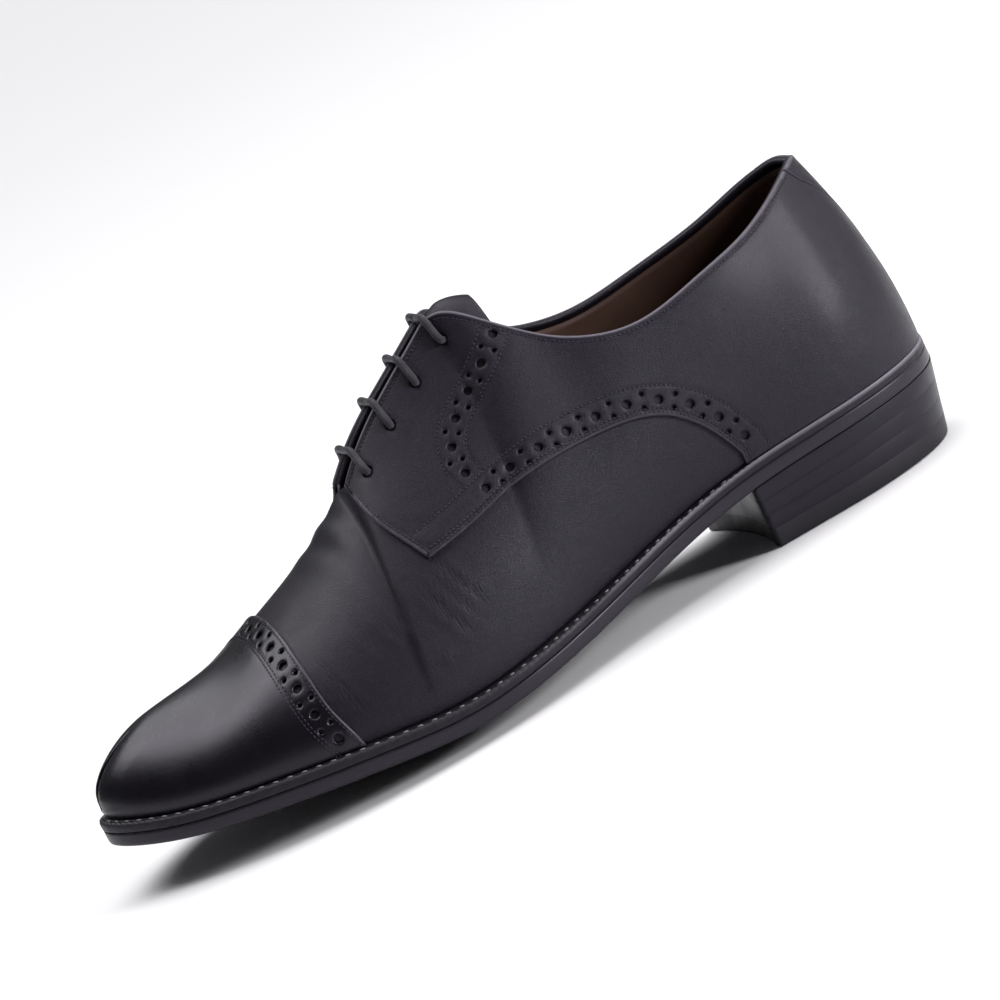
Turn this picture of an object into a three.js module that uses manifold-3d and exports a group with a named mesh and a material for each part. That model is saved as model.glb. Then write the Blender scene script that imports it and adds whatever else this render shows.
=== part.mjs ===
// A black left derby shoe: toe cap, winged quarters, four crossings of lace, a welted sole and a stacked heel.
// Millimetres, +Z up, toe towards -X, outer side towards -Y. Lengths along the shoe start at the heel's back.
import * as THREE from 'three';
import { mergeVertices } from 'three/addons/utils/BufferGeometryUtils.js';
import Module from 'manifold-3d';

const wasm = await Module();
wasm.setup();

// Sole and heel
const soleLength = 304;
const ballWidth = 99.5;
const heelWidth = 66;
const seatHeight = 23.2;          // underside of the outsole above the floor at the heel's back
const toeSpring = 18.2;           // underside of the outsole above the floor at the toe tip
const crownHeight = 6.8;          // how far the forefoot's edge stands above its middle
const outsoleThickness = 4.6;
const weltThickness = 2.9;
const heelLength = 81.5;          // from the heel's back to the corners of its breast
const heelTaper = 5.4;            // how far the heel's back draws in towards the floor
const heelSideTaper = 0.8;
const breastHollow = 3;           // depth of the hollow in the heel's breast
const topPieceThickness = 6;
const liftCount = 3;
// Upper
const gap = 0.3;                  // between neighbouring pieces
const wall = 1.8;                 // vamp and lining together
const overlay = 1.2;              // cap, quarters and stay
const backHeight = 68.5;          // back seam above the sole
const ankleHeight = 56;           // lowest point of the topline above the sole
const facingHeight = 100;         // head of the facing above the sole
const instepHeight = 70;          // throat above the sole
const toeBoxHeight = 34;          // cap above the sole
const collarWidth = 52;           // opening between the toplines
const throatWidth = 11;           // gap between the facings at their foot
const featherInset = 4.2;         // from the sole's edge to the upper along the forefoot
const heelInset = 1.7;            // the same round the heel
const bulge = 3.5;                // how far the upper swells past its foot
// Pieces on the upper
const capLength = 72;             // toe tip to the cap's seam
const stayTopWidth = 24;
const stayWidth = 11;
const eyeletDiameter = 3.2;
const eyeletInset = 9;            // from the facing's edge
const laceDiameter = 2.4;
const laceCount = 4;
const tongueThickness = 1.6;
const tongueGap = 1.3;            // under the facings, which are flat between their meridians
const insoleThickness = 3.2;
const insoleGap = 0.5;            // over the outsole, which is flat between its rows
const weltLap = 0.6;              // the welt's width inside the upper's wall
const laceLift = 0.4;             // a crossing's stand-off from the facing
const laceSink = 0.9;             // how low it starts above its hole
const eyeletHead = 0.004;         // first hole before the facing's head, a share of the way round the edge
const eyeletFoot = 0.022;         // last hole before the throat
const drillLength = 12;

// Sole outline: shares of the sole's length, and of the width named in the row, outer side then inner side
const SOLE = [
  { name: 'heel_back', outerAlong: 0, outer: 0, innerAlong: 0, inner: 0, of: heelWidth },
  { name: 'heel_round', outerAlong: 0.031, outer: 0.341, innerAlong: 0.031, inner: 0.341, of: heelWidth },
  { name: 'heel_side', outerAlong: 0.112, outer: 0.508, innerAlong: 0.112, inner: 0.492, of: heelWidth },
  { name: 'breast', outerAlong: 0.263, outer: 0.508, innerAlong: 0.263, inner: 0.47, of: heelWidth },
  { name: 'waist', outerAlong: 0.355, outer: 0.352, innerAlong: 0.349, inner: 0.276, of: ballWidth },
  { name: 'shank', outerAlong: 0.47, outer: 0.425, innerAlong: 0.454, inner: 0.291, of: ballWidth },
  { name: 'joint', outerAlong: 0.586, outer: 0.515, innerAlong: 0.579, inner: 0.397, of: ballWidth },
  { name: 'ball', outerAlong: 0.678, outer: 0.523, innerAlong: 0.684, inner: 0.477, of: ballWidth },
  { name: 'vamp', outerAlong: 0.789, outer: 0.46, innerAlong: 0.789, inner: 0.467, of: ballWidth },
  { name: 'cap', outerAlong: 0.875, outer: 0.354, innerAlong: 0.875, inner: 0.4, of: ballWidth },
  { name: 'toe_round', outerAlong: 0.951, outer: 0.2, innerAlong: 0.954, inner: 0.262, of: ballWidth },
  { name: 'toe_tip', outerAlong: 1, outer: -0.04, innerAlong: 1, inner: 0.04, of: ballWidth },
];
// Underside of the outsole along its middle: share of the height named in the row
const UNDERSIDE = [
  { along: 0, height: 1, of: seatHeight },
  { along: 0.132, height: 0.957, of: seatHeight },
  { along: 0.263, height: 0.871, of: seatHeight },
  { along: 0.362, height: 0.66, of: seatHeight },
  { along: 0.47, height: 0.34, of: seatHeight },
  { along: 0.576, height: 0.067, of: seatHeight },
  { along: 0.658, height: -0.05, of: toeSpring },
  { along: 0.73, height: 0.044, of: toeSpring },
  { along: 0.806, height: 0.229, of: toeSpring },
  { along: 0.888, height: 0.481, of: toeSpring },
  { along: 0.954, height: 0.735, of: toeSpring },
  { along: 1, height: 1, of: toeSpring },
];
// Crown across the sole, a share of its greatest value
const CROWN = [
  { along: 0, rise: 0 },
  { along: 0.296, rise: 0 },
  { along: 0.461, rise: 0.27 },
  { along: 0.592, rise: 0.75 },
  { along: 0.707, rise: 1 },
  { along: 0.806, rise: 0.86 },
  { along: 0.888, rise: 0.54 },
  { along: 1, rise: 0 },
];
// Distance from the sole's edge to the foot of the upper
const INSET = [
  { along: 0, inset: heelInset },
  { along: 0.23, inset: heelInset },
  { along: 0.312, inset: 0.7 * featherInset },
  { along: 0.461, inset: 0.86 * featherInset },
  { along: 0.658, inset: featherInset },
  { along: 1, inset: featherInset },
];
// A table from its columns' names and its rows of values
function table(names, rows) {
  const columns = names.split(' ');
  return rows.map((row) => Object.fromEntries(row.map((value, i) => [columns[i], value])));
}
// Upper, one meridian a row: at is its share of the way round the sole's edge from heel to toe. Its top lies
// along, a share of the length, and outerUp or innerUp, a share of the height in of, above the sole. across is
// a share of width, rise is how high the foot's handle goes, bow how far it swells, drop and reach are these at
// the top, and reach is a share of the ball's width.
const collarNames = 'name at along outerUp innerUp of across width'
  + ' rise outerBow innerBow drop outerReach innerReach';
const COLLAR = table(collarNames, [
  ['back_seam', 0, 0.039, 1, 1, backHeight, 0, collarWidth, 0.3, 0.35, 0.35, 0.43, 0.097, 0.097],
  ['corner', 0.05, 0.0465, 1.014, 1.014, backHeight, 0.118, collarWidth, 0.3, 0.35, 0.35, 0.43, 0.097, 0.097],
  ['counter', 0.1, 0.063, 0.994, 1, backHeight, 0.208, collarWidth, 0.3, 0.45, 0.45, 0.43, 0.092, 0.092],
  ['heel_side', 0.15, 0.089, 0.953, 0.967, backHeight, 0.3, collarWidth, 0.3, 0.85, 0.85, 0.42, 0.085, 0.085],
  ['cup', 0.21, 0.14, 0.876, 0.905, backHeight, 0.397, collarWidth, 0.3, 0.6, 0.6, 0.42, 0.080, 0.075],
  ['ankle', 0.28, 0.214, 1.014, 1.055, ankleHeight, 0.483, collarWidth, 0.3, 0.4, 0.5, 0.4, 0.075, 0.060],
  ['low_point', 0.34, 0.286, 1, 1.062, ankleHeight, 0.5, collarWidth, 0.3, 0.6, 0.9, 0.4, 0.080, 0.060],
  ['collar', 0.4, 0.349, 0.636, 0.662, facingHeight, 0.445, collarWidth, 0.3, 0.85, 1.4, 0.4, 0.121, 0.090],
  ['rise', 0.445, 0.393, 0.752, 0.762, facingHeight, 0.337, collarWidth, 0.3, 1, 1.7, 0.38, 0.161, 0.121],
  ['nape', 0.475, 0.429, 0.884, 0.887, facingHeight, 0.25, collarWidth, 0.3, 1, 1.7, 0.36, 0.171, 0.131],
  ['head', 0.495, 0.454, 0.964, 0.964, facingHeight, 0.154, collarWidth, 0.3, 1, 1.85, 0.34, 0.171, 0.131],
  ['facing_top', 0.51, 0.472, 0.97, 0.97, facingHeight, 0.067, collarWidth, 0.3, 1, 1.85, 0.32, 0.171, 0.141],
]);
const FACING = [COLLAR[COLLAR.length - 1], ...table(collarNames, [
  ['facing_mid', 0.565, 0.533, 0.897, 0.897, facingHeight, 0.36, throatWidth, 0.32, 1, 1.7, 0.28, 0.181, 0.151],
  ['facing_low', 0.63, 0.6, 1.12, 1.12, instepHeight, 0.46, throatWidth, 0.34, 1, 1.4, 0.22, 0.191, 0.171],
  ['throat', 0.65, 0.6217, 1.036, 1.036, instepHeight, 0.5, throatWidth, 0.35, 1, 1.3, 0.18, 0.201, 0.181],
])];
// Ridge of the vamp from the throat to the toe: across is a share of the ball's width
const RIDGE = table('name at along up of across rise outerBow innerBow drop outerReach innerReach', [
  ['throat', 0.655, 0.6266, 1.021, instepHeight, 0.008, 0.35, 1, 1.3, 0.05, 0.201, 0.1608],
  ['instep', 0.7, 0.6595, 0.922, instepHeight, 0.018, 0.36, 1, 1.15, 0.02, 0.2211, 0.1608],
  ['ball', 0.76, 0.7023, 0.797, instepHeight, 0.03, 0.38, 1, 1, 0, 0.2412, 0.1608],
  ['crease', 0.82, 0.7533, 1.385, toeBoxHeight, 0.04, 0.4, 1, 0.85, 0, 0.2412, 0.1608],
  ['cap_line', 0.87, 0.7993, 1.157, toeBoxHeight, 0.046, 0.42, 1, 0.85, 0, 0.2211, 0.1508],
  ['cap', 0.915, 0.8454, 1.012, toeBoxHeight, 0.05, 0.44, 1, 0.85, 0, 0.191, 0.1407],
  ['toe_box', 0.955, 0.8882, 0.91, toeBoxHeight, 0.05, 0.46, 1, 0.9, 0, 0.1608, 0.1307],
  ['toe_side', 0.985, 0.9178, 0.815, toeBoxHeight, 0.048, 0.48, 1, 1, 0, 0.1457, 0.1256],
  ['toe_apex', 1, 0.9342, 0.725, toeBoxHeight, 0.046, 0.5, 1, 1, 0, 0.1206, 0.1206],
]);
// Side view of the quarter's wing and of its front: share of the sole's length, and height above the sole as a
// share of the facing's
const WING = [
  { name: 'wing_foot', along: 0.262, up: 0.042 },
  { name: 'wing_back', along: 0.274, up: 0.121 },
  { name: 'wing_rise', along: 0.299, up: 0.237 },
  { name: 'wing_top', along: 0.345, up: 0.342 },
  { name: 'wing_crown', along: 0.395, up: 0.397 },
  { name: 'wing_front', along: 0.484, up: 0.457 },
  { name: 'wing_low', along: 0.54, up: 0.46 },
  { name: 'corner', along: 0.605, up: 0.464 },
];
const FRONT = [
  WING[WING.length - 1],
  { name: 'front_low', along: 0.615, up: 0.538 },
  { name: 'front_mid', along: 0.624, up: 0.604 },
  { name: 'front_high', along: 0.627, up: 0.679 },
  { name: 'front_top', along: 0.6217, up: 0.753 },
];
// Side view of the cap's seam: share of the cap's length back from the toe tip, and height above the sole as a
// share of the toe box's
const CAP_SEAM = [
  { name: 'under_welt', back: 1.05, up: -0.276 },
  { name: 'welt', back: 1.02, up: 0.321 },
  { name: 'low_side', back: 0.985, up: 0.576 },
  { name: 'side', back: 0.981, up: 0.875 },
  { name: 'shoulder', back: 1, up: 1.179 },
  { name: 'ridge', back: 1.02, up: 1.404 },
  { name: 'above', back: 1.06, up: 1.99 },
];
// Half width of the back stay up the heel: shares of the back's height above the floor and of the width in of
const STAY = [
  { name: 'foot', up: 0, half: 0.5, of: stayWidth },
  { name: 'neck', up: 0.718, half: 0.5, of: stayWidth },
  { name: 'flare', up: 0.834, half: 0.62, of: stayWidth },
  { name: 'wing', up: 1.018, half: 0.5, of: stayTopWidth },
  { name: 'top', up: 1.44, half: 0.5, of: stayTopWidth },
];
// Tongue: its rows up the facings, and how high it arches between them, a share of the collar's width
const TONGUE = [
  { at: 0.462, arch: 0.22 },
  { at: 0.475, arch: 0.158 },
  { at: 0.49, arch: 0.07 },
  { at: 0.51, arch: 0.012 },
  { at: 0.54, arch: 0 },
  { at: 0.575, arch: 0 },
  { at: 0.61, arch: 0 },
  { at: 0.64, arch: 0 },
  { at: 0.665, arch: 0 },
];
const tongueTuck = 0.24;          // how far down the facings' insides its edges go
const tongueFlat = 0.45;          // share of its half width that lies between the facings
const SMALL = 1e-3;
const segments = { between: 2, up: 8 };   // steps between two rows of a table, and up the upper

// Smooth curve through (at, value), straight at its ends
function spline(at, value) {
  const n = at.length;
  const bend = new Array(n).fill(0);
  const share = new Array(n).fill(0);
  for (let i = 1; i < n - 1; i++) {
    const before = at[i] - at[i - 1];
    const after = at[i + 1] - at[i];
    const turn = 6 * ((value[i + 1] - value[i]) / after - (value[i] - value[i - 1]) / before);
    const pivot = 2 * (before + after) - before * share[i - 1];
    share[i] = after / pivot;
    bend[i] = (turn - before * bend[i - 1]) / pivot;
  }
  for (let i = n - 2; i > 0; i--) bend[i] -= share[i] * bend[i + 1];
  return (x) => {
    const q = Math.min(Math.max(x, at[0]), at[n - 1]);
    let i = 0;
    while (i < n - 2 && q > at[i + 1]) i++;
    const h = at[i + 1] - at[i];
    const d = q - at[i];
    const e = h - d;
    const cubic = (bend[i] * e ** 3 + bend[i + 1] * d ** 3) / (6 * h);
    return cubic + (value[i] / h - bend[i] * h / 6) * e + (value[i + 1] / h - bend[i + 1] * h / 6) * d;
  };
}

// Closed smooth curve: the open one through three rounds of the points, read in the middle round
function closedSpline(at, value, period) {
  const rounds = [-1, 0, 1];
  const f = spline(rounds.flatMap((k) => at.map((a) => a + k * period)), rounds.flatMap(() => value));
  return (x) => f(((x % period) + period) % period);
}

// The sole's edge, walked by arc length on each side. side is -1 outer, +1 inner
const edgePoints = [
  ...SOLE.map((r) => [r.outerAlong * soleLength, -r.outer * r.of]),
  ...SOLE.slice(1, -1).reverse().map((r) => [r.innerAlong * soleLength, r.inner * r.of]),
];
const edgeAt = [0];
edgePoints.forEach((p, i) => {
  const q = edgePoints[(i + 1) % edgePoints.length];
  edgeAt.push(edgeAt[i] + Math.hypot(q[0] - p[0], q[1] - p[1]));
});
const period = edgeAt.pop();
const edgeAlong = closedSpline(edgeAt, edgePoints.map((p) => p[0]), period);
const edgeAcross = closedSpline(edgeAt, edgePoints.map((p) => p[1]), period);
const tipAt = edgeAt[SOLE.length - 1];
const walks = { '-1': walkSide(0, tipAt), 1: walkSide(period - SMALL, tipAt) };

function walkSide(from, to) {
  const steps = 600;
  const rows = [];
  let length = 0;
  for (let i = 0; i <= steps; i++) {
    const t = from + (to - from) * i / steps;
    const row = { t, along: edgeAlong(t), across: edgeAcross(t) };
    if (i) length += Math.hypot(row.along - rows[i - 1].along, row.across - rows[i - 1].across);
    row.length = length;
    rows.push(row);
  }
  rows.forEach((r) => { r.share = r.length / length; });
  return rows;
}

function lookUp(rows, key, x, value) {
  let i = 1;
  while (i < rows.length - 1 && rows[i][key] < x) i++;
  const a = rows[i - 1];
  const b = rows[i];
  const f = b[key] === a[key] ? 0 : (x - a[key]) / (b[key] - a[key]);
  return a[value] + (b[value] - a[value]) * Math.min(Math.max(f, 0), 1);
}

// Place on the sole's edge and the direction out of it
function edge(side, at) {
  if (at >= 1) return { along: soleLength, across: SOLE[SOLE.length - 1].inner * ballWidth, out: [1, 0] };
  if (at <= 0) return { along: 0, across: 0, out: [-1, 0] };
  const t = lookUp(walks[side], 'share', at, 't');
  const step = 0.5;
  const run = edgeAlong(t + step) - edgeAlong(t - step);
  const drift = edgeAcross(t + step) - edgeAcross(t - step);
  const size = Math.hypot(run, drift);
  return { along: edgeAlong(t), across: edgeAcross(t), out: [drift / size, -run / size] };
}

const underside = spline(UNDERSIDE.map((r) => r.along * soleLength), UNDERSIDE.map((r) => r.height * r.of));
const crown = spline(CROWN.map((r) => r.along * soleLength), CROWN.map((r) => r.rise * crownHeight));
const inset = spline(INSET.map((r) => r.along * soleLength), INSET.map((r) => r.inset));

// Underside of the outsole, flat on the floor where its curve would pass below it
function soleBottom(along, across) {
  const s = Math.min(Math.max(along, 0), soleLength);
  const outer = lookUp(walks[-1], 'along', s, 'across');
  const inner = lookUp(walks[1], 'along', s, 'across');
  const reach = Math.min(Math.abs((across - (outer + inner) / 2) / Math.max((inner - outer) / 2, 1)), 1);
  return Math.max(underside(s) + crown(s) * reach ** 2, 0);
}
const soleTop = (along, across) => soleBottom(along, across) + outsoleThickness + gap + weltThickness;

const column = (rows, value) => spline(rows.map((r) => r.at), rows.map(value));
const sideName = (side) => (side < 0 ? 'outer' : 'inner');
const middleTop = (along) => underside(along) + outsoleThickness + gap + weltThickness;

function collarColumns(rows, side) {
  const name = sideName(side);
  return {
    along: column(rows, (r) => r.along * soleLength),
    up: column(rows, (r) => middleTop(r.along * soleLength) + r[name + 'Up'] * r.of),
    across: column(rows, (r) => side * r.across * r.width),
    rise: column(rows, (r) => r.rise),
    bow: column(rows, (r) => r[name + 'Bow'] * bulge),
    drop: column(rows, (r) => r.drop),
    reach: column(rows, (r) => r[name + 'Reach'] * ballWidth),
  };
}
function ridgeColumns(side) {
  const name = sideName(side);
  return {
    along: column(RIDGE, (r) => r.along * soleLength),
    up: column(RIDGE, (r) => middleTop(r.along * soleLength) + r.up * r.of),
    across: column(RIDGE, (r) => r.across * ballWidth),
    rise: column(RIDGE, (r) => r.rise),
    bow: column(RIDGE, (r) => r[name + 'Bow'] * bulge),
    drop: column(RIDGE, (r) => r.drop),
    reach: column(RIDGE, (r) => r[name + 'Reach'] * ballWidth),
  };
}
const topColumns = {};
for (const side of [-1, 1]) {
  topColumns[side] = {
    collar: collarColumns(COLLAR, side),
    facing: collarColumns(FACING, side),
    ridge: ridgeColumns(side),
  };
}
const collarEnd = FACING[0].at;
const throatAt = FACING[FACING.length - 1].at;
const ridgeStart = RIDGE[0].at;

// Top of a meridian with its handle's numbers
function meridianTop(side, at) {
  const { collar, facing, ridge } = topColumns[side];
  const read = (set, x) => Object.fromEntries(Object.entries(set).map(([key, f]) => [key, f(x)]));
  if (at <= collarEnd) return { ...read(collar, at), slope: 0 };
  if (at <= throatAt) return { ...read(facing, at), slope: 0 };
  const x = Math.min(Math.max(at, ridgeStart + SMALL), 1 - SMALL);
  const rise = ridge.up(x + SMALL) - ridge.up(x - SMALL);
  const slope = rise / (ridge.along(x + SMALL) - ridge.along(x - SMALL));
  if (at >= ridgeStart) return { ...read(ridge, at), slope };
  const share = (at - throatAt) / (ridgeStart - throatAt);
  const from = read(facing, throatAt);
  const to = read(ridge, ridgeStart);
  const blend = (key) => [key, from[key] + (to[key] - from[key]) * share];
  return { ...Object.fromEntries(Object.keys(from).map(blend)), slope: slope * share };
}

// Meridian as four control points in the shoe's frame
function meridian(side, at) {
  const e = edge(side, at);
  const top = meridianTop(side, at);
  const inward = inset(e.along);
  const along = e.along - e.out[0] * inward;
  const across = e.across - e.out[1] * inward;
  const foot = soleTop(e.along, e.across) + gap;
  const height = top.up - foot;
  const out = e.out;
  return [
    new THREE.Vector3(-along, across, foot),
    new THREE.Vector3(-along - out[0] * top.bow, across + out[1] * top.bow, foot + top.rise * height),
    new THREE.Vector3(
      -top.along - out[0] * top.reach,
      top.across + out[1] * top.reach,
      top.up + out[0] * top.reach * top.slope - top.drop * height,
    ),
    new THREE.Vector3(-top.along, top.across, top.up),
  ];
}
const onMeridian = (p, v) => new THREE.Vector3()
  .addScaledVector(p[0], (1 - v) ** 3)
  .addScaledVector(p[1], 3 * (1 - v) ** 2 * v)
  .addScaledVector(p[2], 3 * (1 - v) * v ** 2)
  .addScaledVector(p[3], v ** 3);
const bare = (side, at, v) => onMeridian(meridian(side, at), v);

function sideNormal(side, at, v) {
  const a0 = Math.max(at - SMALL, 0);
  const a1 = Math.min(at + SMALL, 1);
  const v0 = Math.max(v - 10 * SMALL, 0);
  const v1 = Math.min(v + 10 * SMALL, 1);
  const round = bare(side, a1, v).sub(bare(side, a0, v));
  const up = bare(side, at, v1).sub(bare(side, at, v0));
  return round.cross(up).multiplyScalar(side).normalize();
}

// A point of the upper's form, moved out by offset. Both sides agree on the back seam, the ridge and the toe's
// middle, and the foot moves level
function form(side, at, v, offset) {
  const shared = at <= 0 || at >= 1 || (v >= 1 && at >= ridgeStart);
  const normal = sideNormal(side, at, v);
  if (shared) normal.add(sideNormal(-side, at, v)).normalize();
  if (v <= 0) normal.setZ(0).normalize();
  return bare(side, at, v).addScaledVector(normal, offset);
}

// Meridians used for meshes: the rows of the tables and even steps between them
const rowPlaces = [...COLLAR, ...FACING.slice(1), ...RIDGE].map((r) => r.at);
const stations = rowPlaces.flatMap((a, i) => {
  if (i === rowPlaces.length - 1) return [a];
  const next = rowPlaces[i + 1];
  const steps = next - a > 0.04 ? segments.between : 1;
  return Array.from({ length: steps }, (_, k) => a + (next - a) * k / steps);
});
const heights = Array.from({ length: segments.up + 1 }, (_, j) => j / segments.up);

// Closed solid between two layers of one grid: quads lists corner keys, place gives a key's point in a layer
function thicken(quads, place) {
  const index = new Map();
  const layers = [[], []];
  const seen = new Map();
  const find = (key) => {
    const near = place(key, 0);
    const tag = near.toArray().map((x) => Math.round(x * 1000)).join();
    if (!index.has(tag)) {
      index.set(tag, layers[0].length);
      layers[0].push(near);
      layers[1].push(place(key, 1));
    }
    return index.get(tag);
  };
  const faces = [];
  for (const quad of quads) {
    const ids = quad.map(find);
    for (const [a, b, c] of [[ids[0], ids[1], ids[2]], [ids[0], ids[2], ids[3]]]) {
      if (a !== b && b !== c && a !== c) faces.push([a, b, c]);
    }
  }
  for (const [a, b, c] of faces) {
    for (const [p, q] of [[a, b], [b, c], [c, a]]) seen.set(`${p},${q}`, [p, q]);
  }
  const count = layers[0].length;
  const all = faces.flatMap(([a, b, c]) => [[a, b, c], [a + count, c + count, b + count]]);
  for (const [p, q] of seen.values()) {
    if (seen.has(`${q},${p}`)) continue;
    all.push([q, p, p + count], [q, p + count, q + count]);
  }
  return solid([...layers[0], ...layers[1]], all);
}

function solid(points, faces) {
  const vertProperties = new Float32Array(points.flatMap((p) => [p.x, p.y, p.z]));
  const triVerts = new Uint32Array(faces.flat());
  const made = new wasm.Manifold(new wasm.Mesh({ numProp: 3, vertProperties, triVerts }));
  return made.volume() < 0 ? solid(points, faces.map(([a, b, c]) => [a, c, b])) : made;
}

function solidFrom(geometry) {
  const plain = geometry.index ? geometry.toNonIndexed() : geometry;
  plain.deleteAttribute('normal');
  plain.deleteAttribute('uv');
  const merged = mergeVertices(plain, 1e-4);
  return new wasm.Manifold(new wasm.Mesh({
    numProp: 3,
    vertProperties: new Float32Array(merged.attributes.position.array),
    triVerts: new Uint32Array(merged.index.array),
  }));
}

// Shell over part of the form, between two offsets
function shell(sides, from, to, inside, outside) {
  const places = stations.filter((a) => a > from && a < to);
  places.unshift(from);
  places.push(to);
  const quads = [];
  for (const side of sides) {
    for (let i = 0; i < places.length - 1; i++) {
      for (let j = 0; j < heights.length - 1; j++) {
        const a = [side, places[i], heights[j]];
        const b = [side, places[i + 1], heights[j]];
        const c = [side, places[i + 1], heights[j + 1]];
        const d = [side, places[i], heights[j + 1]];
        quads.push(side < 0 ? [a, b, c, d] : [a, d, c, b]);
      }
    }
  }
  return thicken(quads, (key, layer) => form(...key, layer ? inside : outside));
}

// Flat outline [[x, z], ...] drawn out along Y, and [[x, y], ...] drawn out along Z
function sideBlock(outline, fromY, toY) {
  const shape = new THREE.Shape(outline.map(([x, z]) => new THREE.Vector2(x, z)));
  const block = new THREE.ExtrudeGeometry(shape, { depth: toY - fromY, bevelEnabled: false });
  block.rotateX(Math.PI / 2);
  block.translate(0, toY, 0);
  return solidFrom(block);
}
function planBlock(outline, fromZ, toZ) {
  const shape = new THREE.Shape(outline.map(([x, y]) => new THREE.Vector2(x, y)));
  const block = new THREE.ExtrudeGeometry(shape, { depth: toZ - fromZ, bevelEnabled: false });
  block.translate(0, 0, fromZ);
  return solidFrom(block);
}
function endBlock(outline, fromX, toX) {
  const shape = new THREE.Shape(outline.map(([y, z]) => new THREE.Vector2(y, z)));
  const block = new THREE.ExtrudeGeometry(shape, { depth: toX - fromX, bevelEnabled: false });
  block.rotateZ(Math.PI / 2);
  block.rotateY(Math.PI / 2);
  block.translate(fromX, 0, 0);
  return solidFrom(block);
}
const FAR = 2 * soleLength;

// Layer of the sole: an edge inset, and a lower and upper height for each place
const ACROSS = [-1, -0.66, -0.32, 0.32, 0.66, 1];
function plate(inset0, inset1, low, high, to = 1, hollow = 0, across = ACROSS) {
  const places = stations.filter((a) => a > 0 && a < to);
  places.unshift(0);
  places.push(to);
  const quads = [];
  for (let i = 0; i < places.length - 1; i++) {
    for (let j = 0; j < across.length - 1; j++) {
      quads.push([
        [places[i], across[j]],
        [places[i], across[j + 1]],
        [places[i + 1], across[j + 1]],
        [places[i + 1], across[j]],
      ]);
    }
  }
  return thicken(quads, ([at, w], layer) => {
    const k = layer ? inset0 : inset1;
    const [outer, inner] = [-1, 1].map((side) => {
      const e = edge(side, at);
      const d = k(e);
      return [e.along - e.out[0] * d, e.across - e.out[1] * d];
    });
    const share = (w + 1) / 2;
    let along = outer[0] + (inner[0] - outer[0]) * share;
    const y = outer[1] + (inner[1] - outer[1]) * share;
    along -= hollow * (1 - w * w) * (at / to) ** 6;
    return new THREE.Vector3(-along, y, (layer ? low : high)(along, y));
  });
}

function makeOutsole() {
  const cut = () => 0;
  return plate(cut, cut, soleBottom, (s, y) => soleBottom(s, y) + outsoleThickness);
}

// Ring between the sole's edge and the inside of the upper's wall
function makeWelt() {
  const width = (e) => inset(e.along) + wall + weltLap;
  const quads = [];
  const places = [...new Set(stations)];
  for (const side of [-1, 1]) {
    for (let i = 0; i < places.length - 1; i++) {
      const a = [side, places[i], 0];
      const b = [side, places[i + 1], 0];
      const c = [side, places[i + 1], 1];
      const d = [side, places[i], 1];
      quads.push(side < 0 ? [a, b, c, d] : [a, d, c, b]);
    }
  }
  const bottom = (s, y) => soleBottom(s, y) + outsoleThickness + gap;
  return thicken(quads, ([side, at, w], layer) => {
    const e = edge(side, at);
    const d = w ? width(e) : 0;
    const along = e.along - e.out[0] * d;
    const y = e.across - e.out[1] * d;
    return new THREE.Vector3(-along, y, bottom(e.along, e.across) + (layer ? 0 : weltThickness));
  });
}

function makeInsole() {
  const cut = (e) => inset(e.along) + wall + weltLap + gap;
  const low = (s, y) => soleBottom(s, y) + outsoleThickness + insoleGap;
  return plate(cut, cut, low, (s, y) => low(s, y) + insoleThickness);
}

// Heel layer between two shares of the heel's height, 0 at the floor and 1 under the outsole
const heelAt = lookUp(walks[-1], 'along', heelLength, 'share');
function heelLayer(low, high) {
  const taper = (level) => (e) => {
    const back = Math.max(-e.out[0], 0);
    return (1 - level) * (heelTaper * back + heelSideTaper * (1 - back));
  };
  const level = (z) => Math.min(z / seatHeight, 1);
  const across = [-1, -0.5, 0, 0.5, 1];
  return plate(taper(level(low(0, 0))), taper(level(high(0, 0))), low, high, heelAt, breastHollow, across);
}

function liftHeight(k) {
  return (s, y) => topPieceThickness + (soleBottom(s, y) - topPieceThickness) * k / liftCount;
}

function makeUpper() {
  let upper = shell([-1, 1], 0, 1, -wall, 0);
  for (const hole of eyelets) upper = upper.subtract(hole.drill);
  return upper;
}

// Outline of the back stay seen from behind
function stayBlock(extra) {
  const half = STAY.map((r) => [r.half * r.of + extra, r.up * (seatHeight + backHeight)]);
  const outline = [...half, ...half.slice().reverse().map(([y, z]) => [-y, z])];
  return endBlock(outline, -soleLength / 6, FAR);
}

function makeStay() {
  return shell([-1, 1], 0, COLLAR[5].at, gap, gap + overlay + gap).intersect(stayBlock(0));
}

// Curve through the rows of a side view
function sideCurve(rows, alongOf, height, steps) {
  const points = rows.map((r) => {
    const s = alongOf(r);
    return new THREE.Vector2(-s, middleTop(s) + r.up * height);
  });
  return new THREE.SplineCurve(points).getPoints(steps).map((p) => [p.x, p.y]);
}

function makeQuarter(side) {
  const alongOf = (r) => r.along * soleLength;
  const wing = sideCurve(WING, alongOf, facingHeight, 14);
  const front = sideCurve(FRONT, alongOf, facingHeight, 6);
  const top = seatHeight + 1.5 * facingHeight;
  const outline = [[wing[0][0], 0], ...wing, ...front.slice(1), [front[0][0], top], [FAR, top], [FAR, 0]];
  const [fromY, toY] = side < 0 ? [-ballWidth, 0] : [0, ballWidth];
  const half = throatWidth / 2;
  const slitFrom = -FACING[2].along * soleLength;
  const slitTo = -RIDGE[2].along * soleLength;
  const slit = planBlock([[slitFrom, -half], [slitFrom, half], [slitTo, half], [slitTo, -half]], 0, FAR);
  let quarter = shell([side], 0, RIDGE[1].at, gap, gap + overlay)
    .intersect(sideBlock(outline, fromY, toY))
    .subtract(slit)
    .subtract(stayBlock(gap));
  for (const hole of eyelets) quarter = quarter.subtract(hole.drill);
  return quarter;
}

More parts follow.
